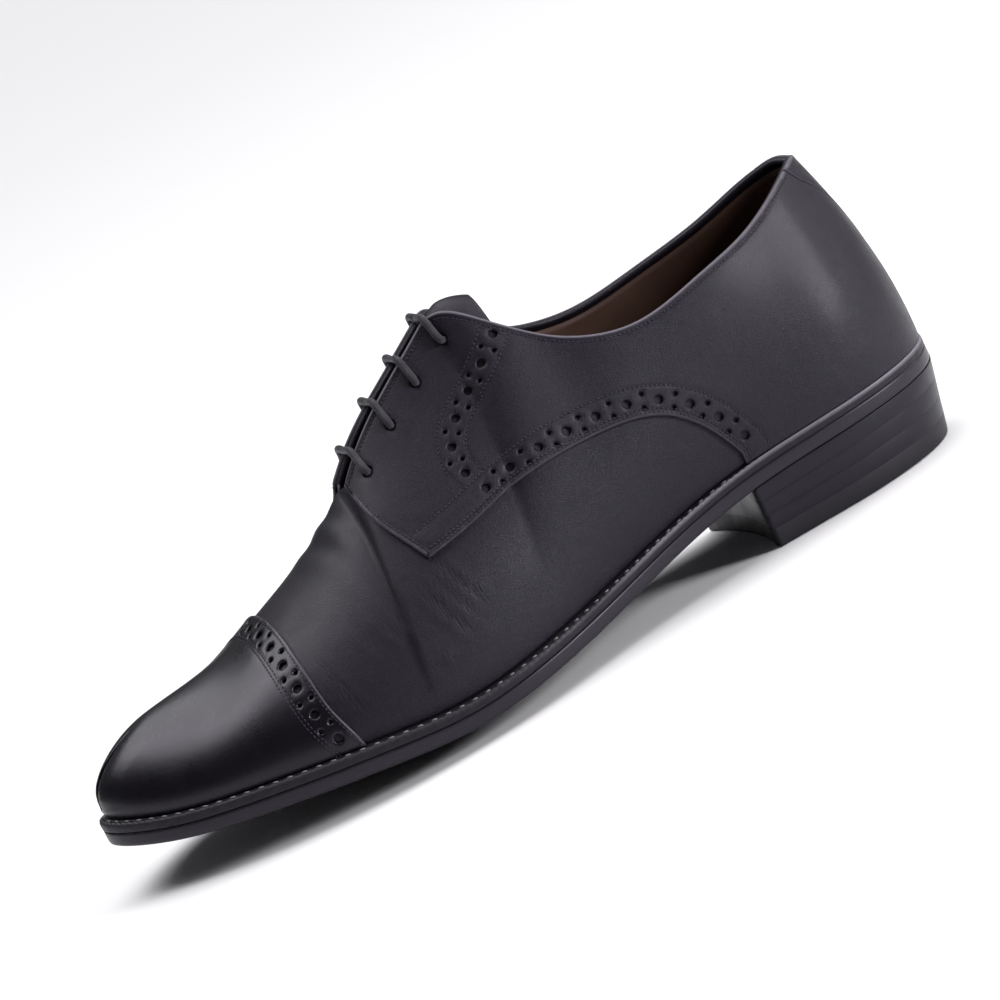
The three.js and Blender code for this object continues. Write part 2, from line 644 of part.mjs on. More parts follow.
function makeCap() {
  const seam = sideCurve(CAP_SEAM, (r) => soleLength - r.back * capLength, toeBoxHeight, 14);
  const outline = [...seam, [-FAR, seam[seam.length - 1][1]], [-FAR, seam[0][1]]];
  const block = sideBlock(outline, -ballWidth, ballWidth);
  return shell([-1, 1], RIDGE[1].at, 1, gap, gap + overlay).intersect(block);
}

// Lace holes: evenly spaced down the facing, a fixed way in from its edge
function eyelet(side, k) {
  const first = collarEnd - eyeletHead;
  const last = throatAt - eyeletFoot;
  const at = first + (last - first) * k / (laceCount - 1);
  const step = 0.005;
  let v = 1;
  let left = eyeletInset;
  while (left > 0) {
    const run = bare(side, at, v).distanceTo(bare(side, at, v - step));
    v -= step * Math.min(left / run, 1);
    left -= run;
  }
  const middle = form(side, at, v, 0);
  const normal = form(side, at, v, 1).sub(middle);
  const drillGeometry = new THREE.CylinderGeometry(eyeletDiameter / 2, eyeletDiameter / 2, drillLength, 12);
  drillGeometry.applyQuaternion(new THREE.Quaternion().setFromUnitVectors(new THREE.Vector3(0, 1, 0), normal));
  drillGeometry.translate(middle.x, middle.y, middle.z);
  return { side, at, v, k, middle, normal, drill: solidFrom(drillGeometry) };
}
const eyelets = [-1, 1].flatMap((side) => Array.from({ length: laceCount }, (_, k) => eyelet(side, k)));

function makeLaceBar(k) {
  const radius = laceDiameter / 2;
  const run = gap + overlay + gap + radius + laceLift;
  const halfBar = (side) => {
    const hole = eyelets.find((h) => h.side === side && h.k === k);
    const up = (offset) => hole.middle.clone().addScaledVector(hole.normal, offset);
    const over = (share, offset) => form(side, hole.at, hole.v + (1 - hole.v) * share, offset);
    return [up(-wall / 2), up(gap), up(run - laceSink), over(0.22, run), over(0.6, run), over(1, run)];
  };
  const outer = halfBar(-1);
  const inner = halfBar(1).reverse();
  const middle = outer[outer.length - 1].clone().lerp(inner[0], 0.5);
  const path = new THREE.CatmullRomCurve3([...outer, middle, ...inner], false, 'centripetal');
  const sides = 8;
  const section = new THREE.Shape(Array.from({ length: sides }, (_, i) => {
    const turn = 2 * Math.PI * i / sides;
    return new THREE.Vector2(radius * Math.cos(turn), radius * Math.sin(turn));
  }));
  return new THREE.ExtrudeGeometry(section, { steps: 14, extrudePath: path, bevelEnabled: false });
}

// Tongue: follows the inside of the facings and arches across between them
function makeTongue() {
  const depth = [wall + tongueGap, wall + tongueGap + tongueThickness];
  const places = TONGUE.map((r) => r.at);
  const half = [0, tongueFlat / 2, tongueFlat, 0.65, 0.85, 1];
  const across = [...half.slice(1).reverse().map((w) => -w), ...half];
  const arch = column(TONGUE, (r) => r.arch * collarWidth);
  const quads = [];
  for (let i = 0; i < places.length - 1; i++) {
    for (let j = 0; j < across.length - 1; j++) {
      quads.push([
        [places[i], across[j]],
        [places[i], across[j + 1]],
        [places[i + 1], across[j + 1]],
        [places[i + 1], across[j]],
      ]);
    }
  }
  return thicken(quads, ([at, w], layer) => {
    const size = Math.abs(w);
    const v = 1 - tongueTuck * (size - tongueFlat) / (1 - tongueFlat);
    if (size >= tongueFlat) return form(Math.sign(w), at, v, -depth[layer]);
    const a = form(-1, at, 1, -depth[layer]);
    const b = form(1, at, 1, -depth[layer]);
    const point = a.lerp(b, (w / tongueFlat + 1) / 2);
    point.z += arch(at) * (1 - (w / tongueFlat) ** 2);
    return point;
  });
}

// Group of named meshes
const shoe = new THREE.Group();
const leather = { color: 0x17151a, roughness: 0.42, metalness: 0 };
const polished = { color: 0x141216, roughness: 0.3, metalness: 0 };
const soleFinish = { color: 0x0f0e10, roughness: 0.5, metalness: 0 };
const heelFinish = { color: 0x141315, roughness: 0.55, metalness: 0 };
const liningFinish = { color: 0x3a2a22, roughness: 0.7, metalness: 0 };
const laceFinish = { color: 0x1c1b1f, roughness: 0.6, metalness: 0 };

function geometryOf(manifold) {
  const mesh = manifold.getMesh();
  const geometry = new THREE.BufferGeometry();
  geometry.setAttribute('position', new THREE.BufferAttribute(new Float32Array(mesh.vertProperties), 3));
  geometry.setIndex(new THREE.BufferAttribute(new Uint32Array(mesh.triVerts), 1));
  geometry.computeVertexNormals();
  return geometry;
}
function add(name, shape, finish) {
  const geometry = shape.isBufferGeometry ? shape : geometryOf(shape);
  const mesh = new THREE.Mesh(geometry, new THREE.MeshStandardMaterial(finish));
  mesh.name = name;
  shoe.add(mesh);
}

add('outsole', makeOutsole(), soleFinish);
add('welt', makeWelt(), soleFinish);
add('insole', makeInsole(), liningFinish);
add('heel_top_piece', heelLayer(() => 0, () => topPieceThickness - gap), heelFinish);
for (let k = 0; k < liftCount; k++) {
  const high = (s, y) => liftHeight(k + 1)(s, y) - gap;
  add(`heel_lift_${k + 1}`, heelLayer(liftHeight(k), high), heelFinish);
}
add('upper', makeUpper(), leather);
add('toe_cap', makeCap(), polished);
add('quarter_outer', makeQuarter(-1), leather);
add('quarter_inner', makeQuarter(1), leather);
add('back_stay', makeStay(), leather);
add('tongue', makeTongue(), leather);
for (let k = 0; k < laceCount; k++) add(`lace_bar_${k + 1}`, makeLaceBar(k), laceFinish);

// The origin is the middle of the shoe's outline on the floor
const box = new THREE.Box3().setFromObject(shoe);
const centre = box.getCenter(new THREE.Vector3());
shoe.position.set(-centre.x, -centre.y, -box.min.z);
shoe.updateMatrixWorld(true);

export default shoe;
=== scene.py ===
"""A black left derby shoe with toe cap, winged quarters and laces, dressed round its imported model.

Lengths are millimetres from the heel's back, toe towards -X, outer side towards -Y, until to_frame() turns
them into the frame's metres.
"""
import math

import bmesh
import bpy
import numpy as np
from mathutils import Matrix, Vector
from mathutils.geometry import delaunay_2d_cdt
from mathutils.kdtree import KDTree


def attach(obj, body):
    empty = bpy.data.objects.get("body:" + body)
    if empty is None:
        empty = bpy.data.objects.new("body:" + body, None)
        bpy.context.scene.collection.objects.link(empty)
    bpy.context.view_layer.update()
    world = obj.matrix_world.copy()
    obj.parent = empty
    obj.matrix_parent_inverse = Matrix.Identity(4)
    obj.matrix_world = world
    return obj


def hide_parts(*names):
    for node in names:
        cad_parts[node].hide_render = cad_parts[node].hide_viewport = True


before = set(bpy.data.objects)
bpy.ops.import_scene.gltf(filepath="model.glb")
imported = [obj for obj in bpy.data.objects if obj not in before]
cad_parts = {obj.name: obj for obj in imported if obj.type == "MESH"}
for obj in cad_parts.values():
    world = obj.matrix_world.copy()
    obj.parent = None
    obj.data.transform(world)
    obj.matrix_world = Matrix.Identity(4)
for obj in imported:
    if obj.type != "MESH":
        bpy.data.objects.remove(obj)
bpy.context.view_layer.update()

# The shoe's sizes in millimetres, as in the CAD source
SOLE_LENGTH = 304
BALL_WIDTH = 99.5
HEEL_WIDTH = 66
SEAT_HEIGHT = 23.2
TOE_SPRING = 18.2
CROWN_HEIGHT = 6.8
OUTSOLE_THICKNESS = 4.6
WELT_THICKNESS = 2.9
HEEL_LENGTH = 81.5
HEEL_TAPER = 5.4
HEEL_SIDE_TAPER = 0.8
BREAST_HOLLOW = 3
TOP_PIECE_THICKNESS = 6
LIFT_COUNT = 3
GAP = 0.3
WALL = 1.8
OVERLAY = 1.2
BACK_HEIGHT = 68.5
ANKLE_HEIGHT = 56
FACING_HEIGHT = 100
INSTEP_HEIGHT = 70
TOE_BOX_HEIGHT = 34
COLLAR_WIDTH = 52
THROAT_WIDTH = 11
FEATHER_INSET = 4.2
HEEL_INSET = 1.7
BULGE = 3.5
CAP_LENGTH = 72
STAY_TOP_WIDTH = 24
STAY_WIDTH = 11
EYELET_INSET = 9
LACE_DIAMETER = 2.4
LACE_COUNT = 4
LACE_HOLE = 1.6                      # radius
BORE_DEPTH = 3.4                     # how far a lace hole reaches to both sides of the form
LEATHER = 0.85                       # thickness of the vamp's own leather
SMALL = 1e-3                         # a small step along the shoe, as a share of its length
WELD_CELLS = 2000                    # cells a millimetre in which points are one


def table(names, rows):
    """Rows of values as one array for each named column."""
    columns = zip(*rows)
    return {name: np.array(list(column)) for name, column in zip(names.split(), columns)}


# Sole outline: shares of the sole's length and of the width in the last column, outer side then inner side
SOLE = table("name outer_along outer inner_along inner of", [
    ("heel_back", 0, 0, 0, 0, HEEL_WIDTH),
    ("heel_round", 0.031, 0.341, 0.031, 0.341, HEEL_WIDTH),
    ("heel_side", 0.112, 0.508, 0.112, 0.492, HEEL_WIDTH),
    ("breast", 0.263, 0.508, 0.263, 0.47, HEEL_WIDTH),
    ("waist", 0.355, 0.352, 0.349, 0.276, BALL_WIDTH),
    ("shank", 0.47, 0.425, 0.454, 0.291, BALL_WIDTH),
    ("joint", 0.586, 0.515, 0.579, 0.397, BALL_WIDTH),
    ("ball", 0.678, 0.523, 0.684, 0.477, BALL_WIDTH),
    ("vamp", 0.789, 0.46, 0.789, 0.467, BALL_WIDTH),
    ("cap", 0.875, 0.354, 0.875, 0.4, BALL_WIDTH),
    ("toe_round", 0.951, 0.2, 0.954, 0.262, BALL_WIDTH),
    ("toe_tip", 1, -0.04, 1, 0.04, BALL_WIDTH),
])
# Underside of the outsole along its middle: share of the height in the last column
UNDERSIDE = table("along height of", [
    (0, 1, SEAT_HEIGHT),
    (0.132, 0.957, SEAT_HEIGHT),
    (0.263, 0.871, SEAT_HEIGHT),
    (0.362, 0.66, SEAT_HEIGHT),
    (0.47, 0.34, SEAT_HEIGHT),
    (0.576, 0.067, SEAT_HEIGHT),
    (0.658, -0.05, TOE_SPRING),
    (0.73, 0.044, TOE_SPRING),
    (0.806, 0.229, TOE_SPRING),
    (0.888, 0.481, TOE_SPRING),
    (0.954, 0.735, TOE_SPRING),
    (1, 1, TOE_SPRING),
])
CROWN = table("along rise", [
    (0, 0), (0.296, 0), (0.461, 0.27), (0.592, 0.75), (0.707, 1), (0.806, 0.86), (0.888, 0.54), (1, 0),
])
INSET = table("along inset", [
    (0, HEEL_INSET), (0.23, HEEL_INSET), (0.312, 0.7 * FEATHER_INSET), (0.461, 0.86 * FEATHER_INSET),
    (0.658, FEATHER_INSET), (1, FEATHER_INSET),
])
# Upper, one meridian a row, as in the CAD source
COLLAR_NAMES = ("name at along outer_up inner_up of across width rise outer_bow inner_bow drop "
                "outer_reach inner_reach")
COLLAR_ROWS = [
    ("back_seam", 0, 0.039, 1, 1, BACK_HEIGHT, 0, COLLAR_WIDTH, 0.3, 0.35, 0.35, 0.43, 0.096, 0.096),
    ("corner", 0.05, 0.0465, 1.014, 1.014, BACK_HEIGHT, 0.118, COLLAR_WIDTH, 0.3, 0.35, 0.35, 0.43, 0.097, 0.097),
    ("counter", 0.1, 0.063, 0.994, 1, BACK_HEIGHT, 0.208, COLLAR_WIDTH, 0.3, 0.45, 0.45, 0.43, 0.092, 0.092),
    ("heel_side", 0.15, 0.089, 0.953, 0.967, BACK_HEIGHT, 0.3, COLLAR_WIDTH, 0.3, 0.85, 0.85, 0.42, 0.085, 0.085),
    ("cup", 0.21, 0.14, 0.876, 0.905, BACK_HEIGHT, 0.397, COLLAR_WIDTH, 0.3, 0.6, 0.6, 0.42, 0.08, 0.075),
    ("ankle", 0.28, 0.214, 1.014, 1.055, ANKLE_HEIGHT, 0.483, COLLAR_WIDTH, 0.3, 0.4, 0.5, 0.4, 0.075, 0.06),
    ("low_point", 0.34, 0.286, 1, 1.062, ANKLE_HEIGHT, 0.5, COLLAR_WIDTH, 0.3, 0.6, 0.9, 0.4, 0.08, 0.06),
    ("collar", 0.4, 0.349, 0.636, 0.662, FACING_HEIGHT, 0.445, COLLAR_WIDTH, 0.3, 0.85, 1.4, 0.4, 0.121, 0.09),
    ("rise", 0.445, 0.393, 0.752, 0.762, FACING_HEIGHT, 0.337, COLLAR_WIDTH, 0.3, 1, 1.7, 0.38, 0.161, 0.121),
    ("nape", 0.475, 0.429, 0.884, 0.887, FACING_HEIGHT, 0.25, COLLAR_WIDTH, 0.3, 1, 1.7, 0.36, 0.171, 0.131),
    ("head", 0.495, 0.454, 0.964, 0.964, FACING_HEIGHT, 0.154, COLLAR_WIDTH, 0.3, 1, 1.85, 0.34, 0.171, 0.131),
    ("facing_top", 0.51, 0.472, 0.97, 0.97, FACING_HEIGHT, 0.067, COLLAR_WIDTH, 0.3, 1, 1.85, 0.32, 0.171, 0.141),
]
FACING_ROWS = [
    COLLAR_ROWS[-1],
    ("facing_mid", 0.565, 0.533, 0.897, 0.897, FACING_HEIGHT, 0.36, THROAT_WIDTH, 0.32, 1, 1.7, 0.28, 0.181, 0.151),
    ("facing_low", 0.63, 0.6, 1.12, 1.12, INSTEP_HEIGHT, 0.46, THROAT_WIDTH, 0.34, 1, 1.4, 0.22, 0.191, 0.171),
    ("throat", 0.65, 0.6217, 1.036, 1.036, INSTEP_HEIGHT, 0.5, THROAT_WIDTH, 0.35, 1, 1.3, 0.18, 0.201, 0.181),
]
COLLAR = table(COLLAR_NAMES, COLLAR_ROWS)
FACING = table(COLLAR_NAMES, FACING_ROWS)
RIDGE = table("name at along up of across rise outer_bow inner_bow drop outer_reach inner_reach", [
    ("throat", 0.655, 0.6266, 1.021, INSTEP_HEIGHT, 0.008, 0.35, 1, 1.3, 0.05, 0.201, 0.1608),
    ("instep", 0.7, 0.6595, 0.922, INSTEP_HEIGHT, 0.018, 0.36, 1, 1.15, 0.02, 0.2211, 0.1608),
    ("ball", 0.76, 0.7023, 0.797, INSTEP_HEIGHT, 0.03, 0.38, 1, 1, 0, 0.2412, 0.1608),
    ("crease", 0.82, 0.7533, 1.385, TOE_BOX_HEIGHT, 0.04, 0.4, 1, 0.85, 0, 0.2412, 0.1608),
    ("cap_line", 0.87, 0.7993, 1.157, TOE_BOX_HEIGHT, 0.046, 0.42, 1, 0.85, 0, 0.2211, 0.1508),
    ("cap", 0.915, 0.8454, 1.012, TOE_BOX_HEIGHT, 0.05, 0.44, 1, 0.85, 0, 0.191, 0.1407),
    ("toe_box", 0.955, 0.8882, 0.91, TOE_BOX_HEIGHT, 0.05, 0.46, 1, 0.9, 0, 0.1608, 0.1307),
    ("toe_side", 0.985, 0.9178, 0.815, TOE_BOX_HEIGHT, 0.048, 0.48, 1, 1, 0, 0.1457, 0.1256),
    ("toe_apex", 1, 0.9342, 0.725, TOE_BOX_HEIGHT, 0.046, 0.5, 1, 1, 0, 0.1206, 0.1206),
])
# Side views: the wing's lower edge, the quarter's front and the cap's seam
WING = [(0.262, 0.042), (0.274, 0.121), (0.299, 0.237), (0.345, 0.342), (0.395, 0.397), (0.484, 0.457),
        (0.54, 0.46), (0.605, 0.464)]
FRONT = [(0.605, 0.464), (0.615, 0.538), (0.624, 0.604), (0.627, 0.679), (0.6217, 0.753)]
CAP_SEAM = [(1.05, -0.276), (1.02, 0.321), (0.985, 0.576), (0.981, 0.875), (1, 1.179), (1.02, 1.404),
            (1.06, 1.99)]
STAY = [(0, 0.5, STAY_WIDTH), (0.718, 0.5, STAY_WIDTH), (0.834, 0.62, STAY_WIDTH),
        (1.018, 0.5, STAY_TOP_WIDTH), (1.44, 0.5, STAY_TOP_WIDTH)]


def spline(at, value):
    """Natural cubic through the points, read with arrays."""
    at = np.asarray(at, float)
    value = np.asarray(value, float)
    n = len(at)
    h = np.diff(at)
    system = np.eye(n)
    right = np.zeros(n)
    for i in range(1, n - 1):
        system[i, i - 1:i + 2] = h[i - 1], 2 * (h[i - 1] + h[i]), h[i]
        right[i] = 6 * ((value[i + 1] - value[i]) / h[i] - (value[i] - value[i - 1]) / h[i - 1])
    bend = np.linalg.solve(system, right)

    def read(x):
        q = np.clip(x, at[0], at[-1])
        i = np.clip(np.searchsorted(at, q, side="left") - 1, 0, n - 2)
        w = h[i]
        d = q - at[i]
        e = w - d
        cubic = (bend[i] * e ** 3 + bend[i + 1] * d ** 3) / (6 * w)
        return cubic + (value[i] / w - bend[i] * w / 6) * e + (value[i + 1] / w - bend[i + 1] * w / 6) * d

    return read


def closed_spline(at, value, period):
    """Closed smooth curve: the open one through three rounds of the points, read in the middle round."""
    rounds = np.concatenate([np.asarray(at) + k * period for k in (-1, 0, 1)])
    f = spline(rounds, np.tile(value, 3))
    return lambda x: f(np.mod(x, period))


edge_points = np.array(
    list(zip(SOLE["outer_along"] * SOLE_LENGTH, -SOLE["outer"] * SOLE["of"]))
    + list(zip(SOLE["inner_along"] * SOLE_LENGTH, SOLE["inner"] * SOLE["of"]))[-2:0:-1])
edge_steps = np.linalg.norm(np.roll(edge_points, -1, 0) - edge_points, axis=1)
edge_at = np.concatenate([[0], np.cumsum(edge_steps)])
edge_period = edge_at[-1]
edge_along = closed_spline(edge_at[:-1], edge_points[:, 0], edge_period)
edge_across = closed_spline(edge_at[:-1], edge_points[:, 1], edge_period)
tip_at = edge_at[len(SOLE["of"]) - 1]


def walk_side(start, end):
    """The sole's edge from heel to toe on one side, with its share of that way."""
    t = np.linspace(start, end, 601)
    along = edge_along(t)
    across = edge_across(t)
    length = np.concatenate([[0], np.cumsum(np.hypot(np.diff(along), np.diff(across)))])
    return {"t": t, "along": along, "across": across, "share": length / length[-1], "length": length[-1]}


walks = {-1: walk_side(0, tip_at), 1: walk_side(edge_period - SMALL, tip_at)}


def both(side, outer, inner):
    """Outer or inner value by each point's side."""
    return np.where(side < 0, outer, inner)


def edge(side, at):
    """Place on the sole's edge and the direction out of it."""
    t = both(side, *(np.interp(at, walks[k]["share"], walks[k]["t"]) for k in (-1, 1)))
    run = edge_along(t + 0.5) - edge_along(t - 0.5)
    drift = edge_across(t + 0.5) - edge_across(t - 0.5)
    size = np.hypot(run, drift)
    along, across, out_along, out_across = edge_along(t), edge_across(t), drift / size, -run / size
    tip = SOLE["inner"][-1] * BALL_WIDTH
    for end, values in ((at >= 1, (SOLE_LENGTH, tip, 1, 0)), (at <= 0, (0, 0, -1, 0))):
        along, across, out_along, out_across = (
            np.where(end, new, old) for new, old in zip(values, (along, across, out_along, out_across)))
    return along, across, out_along, out_across


underside = spline(UNDERSIDE["along"] * SOLE_LENGTH, UNDERSIDE["height"] * UNDERSIDE["of"])
crown = spline(CROWN["along"] * SOLE_LENGTH, CROWN["rise"] * CROWN_HEIGHT)
inset = spline(INSET["along"] * SOLE_LENGTH, INSET["inset"])


def sole_bottom(along, across):
    """Underside of the outsole, flat on the floor where its curve would pass below it."""
    s = np.clip(along, 0, SOLE_LENGTH)
    outer = np.interp(s, walks[-1]["along"], walks[-1]["across"])
    inner = np.interp(s, walks[1]["along"], walks[1]["across"])
    reach = np.minimum(np.abs((across - (outer + inner) / 2) / np.maximum((inner - outer) / 2, 1)), 1)
    return np.maximum(underside(s) + crown(s) * reach ** 2, 0)


def sole_top(along, across):
    return sole_bottom(along, across) + OUTSOLE_THICKNESS + GAP + WELT_THICKNESS


def middle_top(along):
    return underside(along) + OUTSOLE_THICKNESS + GAP + WELT_THICKNESS


def columns(rows, name, up, across):
    """Curve of each column of a table of meridians, for the side of that name."""
    along = rows["along"] * SOLE_LENGTH
    values = {
        "along": along,
        "up": middle_top(along) + up * rows["of"],
        "across": across,
        "rise": rows["rise"],
        "bow": rows[name + "_bow"] * BULGE,
        "drop": rows["drop"],
        "reach": rows[name + "_reach"] * BALL_WIDTH,
    }
    return {key: spline(rows["at"], value) for key, value in values.items()}


top_columns = {}
for side, name in ((-1, "outer"), (1, "inner")):
    top_columns[side] = [
        columns(rows, name, rows[name + "_up"], side * rows["across"] * rows["width"])
        for rows in (COLLAR, FACING)
    ]
    top_columns[side].append(columns(RIDGE, name, RIDGE["up"], RIDGE["across"] * BALL_WIDTH))
COLLAR_END = FACING["at"][0]
THROAT_AT = FACING["at"][-1]
RIDGE_START = RIDGE["at"][0]


def meridian_top(side, at):
    """Top of the meridians of one side with their handles' numbers."""
    collar, facing, ridge = top_columns[side]
    x = np.clip(at, RIDGE_START + SMALL, 1 - SMALL)
    rise, run = (ridge[key](x + SMALL) - ridge[key](x - SMALL) for key in ("up", "along"))
    share = np.clip((at - THROAT_AT) / (RIDGE_START - THROAT_AT), 0, 1)
    made = {}
    for key in collar:
        on_ridge = ridge[key](np.where(at >= RIDGE_START, x, RIDGE_START))
        front = facing[key](np.minimum(at, THROAT_AT)) * (1 - share) + on_ridge * share
        made[key] = np.where(at <= COLLAR_END, collar[key](at), front)
    made["slope"] = rise / run * share
    return made


def meridian(side, at):
    """Four control points of each meridian."""
    along, across, out_along, out_across = edge(side, at)
    outer, inner = meridian_top(-1, at), meridian_top(1, at)
    top = {key: both(side, outer[key], inner[key]) for key in outer}
    inward = inset(along)
    foot = sole_top(along, across) + GAP
    along, across = along - out_along * inward, across - out_across * inward
    height = top["up"] - foot
    return (
        np.stack([-along, across, foot], -1),
        np.stack([
            -along - out_along * top["bow"],
            across + out_across * top["bow"],
            foot + top["rise"] * height,
        ], -1),
        np.stack([
            -top["along"] - out_along * top["reach"],
            top["across"] + out_across * top["reach"],
            top["up"] + out_along * top["reach"] * top["slope"] - top["drop"] * height,
        ], -1),
        np.stack([-top["along"], top["across"], top["up"]], -1),
    )


PLACES = 4000
fine_at = np.linspace(0, 1, PLACES + 1)
CONTROLS = np.stack([np.stack(meridian(np.full(PLACES + 1, side), fine_at), 1) for side in (-1.0, 1.0)])
EASE = 0.018                         # share of the way to the toe over which leather evens out a bend


def ease_handles():
    """Rounds the bends in the meridians' handles along the shoe. Foot, topline and ridge stay."""
    half = int(3 * EASE * PLACES)
    weights = np.exp(-0.5 * (np.arange(-half, half + 1) / (EASE * PLACES)) ** 2)
    weights /= weights.sum()
    share = np.clip(fine_at / 0.08, 0, 1) * np.clip((0.97 - fine_at) / 0.08, 0, 1)
    for side in (0, 1):
        arms = CONTROLS[side, :, 1:3] - CONTROLS[side, :, [0, 3]].transpose(1, 0, 2)
        for handle in (0, 1):
            for axis in (0, 1, 2):
                arm = arms[:, handle, axis]
                even = np.convolve(np.pad(arm, half, mode="edge"), weights, mode="valid")
                CONTROLS[side, :, handle + 1, axis] += share * (even - arm)


ease_handles()


def bare(side, at, v):
    """Points of the form, read between finely spaced meridians."""
    x = np.clip(at, 0, 1) * PLACES
    k = np.minimum(x.astype(int), PLACES - 1)
    part = (x - k)[..., None, None]
    which = (side > 0).astype(int)
    p = CONTROLS[which, k] * (1 - part) + CONTROLS[which, k + 1] * part
    weights = np.stack([(1 - v) ** 3, 3 * (1 - v) ** 2 * v, 3 * (1 - v) * v ** 2, v ** 3], -1)
    return np.einsum("...kc,...k->...c", p, weights)


def unit(vector):
    return vector / np.maximum(np.linalg.norm(vector, axis=-1, keepdims=True), 1e-12)


def side_normal(side, at, v):
    around = bare(side, np.minimum(at + SMALL, 1), v) - bare(side, np.maximum(at - SMALL, 0), v)
    up = bare(side, at, np.minimum(v + 0.01, 1)) - bare(side, at, np.maximum(v - 0.01, 0))
    return unit(np.cross(around, up) * side[..., None])


def normal(side, at, v):
    """Outward normal. Both sides agree where they meet, and the foot's normal is level."""
    n = side_normal(side, at, v)
    shared = (at <= 0) | (at >= 1) | ((v >= 1) & (at >= RIDGE_START))
    n = np.where(shared[..., None], unit(n + side_normal(-side, at, v)), n)
    level = unit(n * np.array([1, 1, 0]))
    return np.where((v <= 0)[..., None], level, n)


def form(side, at, v, offset=0.0):
    """A point of the upper's form in the CAD's frame, moved out by offset."""
    side, at, v, offset = np.broadcast_arrays(*(np.asarray(q, float) for q in (side, at, v, offset)))
    return bare(side, at, v) + normal(side, at, v) * offset[..., None]


# Pieces in the scene are metres in the frame's own coordinates
heel_back = max((v.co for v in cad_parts["outsole"].data.vertices), key=lambda co: co.x)
SHIFT = np.array([heel_back.x * 1000, heel_back.y * 1000, 0.0])


def to_frame(points):
    return (np.asarray(points, float) + SHIFT) / 1000


def add_piece(name, points, faces, material, slot, replaced=(), uv=None, painted_highlight=None, creased=None):
    """A mesh of points in millimetres, riding on the shoe. Painted highlight (a lighter colour standing in for
    sheen) and creased are shares for each point.
    """
    mesh = bpy.data.meshes.new(name)
    mesh.from_pydata(to_frame(points).tolist(), [], [list(map(int, f)) for f in faces])
    mesh.materials.append(material)
    for key, share in (("painted_highlight", painted_highlight), ("creased", creased)):
        if share is not None:
            values = mesh.attributes.new(key, "FLOAT", "POINT").data
            values.foreach_set("value", np.asarray(share, np.float32))
    if uv is not None:
        layer = mesh.uv_layers.new(name="UVMap")
        corner = np.zeros(len(mesh.loops), int)
        mesh.loops.foreach_get("vertex_index", corner)
        layer.data.foreach_set("uv", np.asarray(uv, float)[corner].ravel())
    obj = bpy.data.objects.new(name, mesh)
    bpy.context.scene.collection.objects.link(obj)
    mesh.shade_smooth()
    tidy_normals(mesh)
    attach(obj, "root")
    if replaced:
        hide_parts(*replaced)
    return obj


def tidy_normals(mesh):
    """Faces point out."""
    work = bmesh.new()
    work.from_mesh(mesh)
    bmesh.ops.recalc_face_normals(work, faces=work.faces)
    work.to_mesh(mesh)
    work.free()


def grid_quads(rows, columns, first=0):
    """Quads of a rows by columns grid of points."""
    i, j = np.meshgrid(np.arange(rows - 1), np.arange(columns - 1), indexing="ij")
    a = (first + i * columns + j).ravel()
    return np.stack([a, a + columns, a + columns + 1, a + 1], -1)


def weld(points, faces):
    """Joins points that agree: the first point of each place and the faces that are left."""
    key = np.round(points * WELD_CELLS).astype(np.int64)
    _, first, back = np.unique(key, axis=0, return_index=True, return_inverse=True)
    kept = []
    for face in back.reshape(-1)[np.asarray(faces)]:
        ring = [int(a) for k, a in enumerate(face) if a != face[k - 1]]
        if len(set(ring)) == len(ring) and len(ring) > 2:
            kept.append(ring)
    return first, kept


def thicken(outside, inside, faces):
    """Closed mesh between two layers with the same faces. Points that agree outside are one."""
    first, kept = weld(outside, faces)
    outside, inside = outside[first], inside[first]
    directed = {(f[k - 1], f[k]) for f in kept for k in range(len(f))}
    count = len(outside)
    rim = [(b, a, a + count, b + count) for a, b in directed if (b, a) not in directed]
    under = [[a + count for a in reversed(f)] for f in kept]
    return np.concatenate([outside, inside]), kept + under + rim, first


# Creases in the leather, seen from the side: start and end from the heel's back and above the floor
CREASES = [
    dict(side=-1, start=(206.2, 50), end=(202.4, 35), depth=0.34, width=1.2),
    dict(side=-1, start=(191.8, 54), end=(183.8, 28), depth=0.4, width=1.35),
    dict(side=-1, start=(187.2, 54), end=(180.5, 33), depth=0.2, width=1.1),
    dict(side=-1, start=(183, 55), end=(174, 33.5), depth=0.34, width=1.25),
    dict(side=-1, start=(212.5, 51), end=(209, 34), depth=0.18, width=1.6),
    dict(side=-1, start=(228, 49), end=(224.2, 22), depth=0.26, width=1.1),
    dict(side=-1, start=(195.4, 30.5), end=(193.2, 25.5), depth=0.22, width=0.8),
    dict(side=1, start=(205, 50), end=(200, 34), depth=0.4, width=1.6),
    dict(side=1, start=(192, 54), end=(187, 33), depth=0.45, width=1.7),
    dict(side=1, start=(180, 54), end=(176, 38), depth=0.3, width=1.5),
]
# Flexing across the ridge of the vamp: place from the heel's back, half width across, depth
FLEXES = [
    dict(along=206, lean=0.12, depth=0.35, width=2.4, reach=26),
    dict(along=197.5, lean=0.16, depth=0.3, width=2.2, reach=24),
]


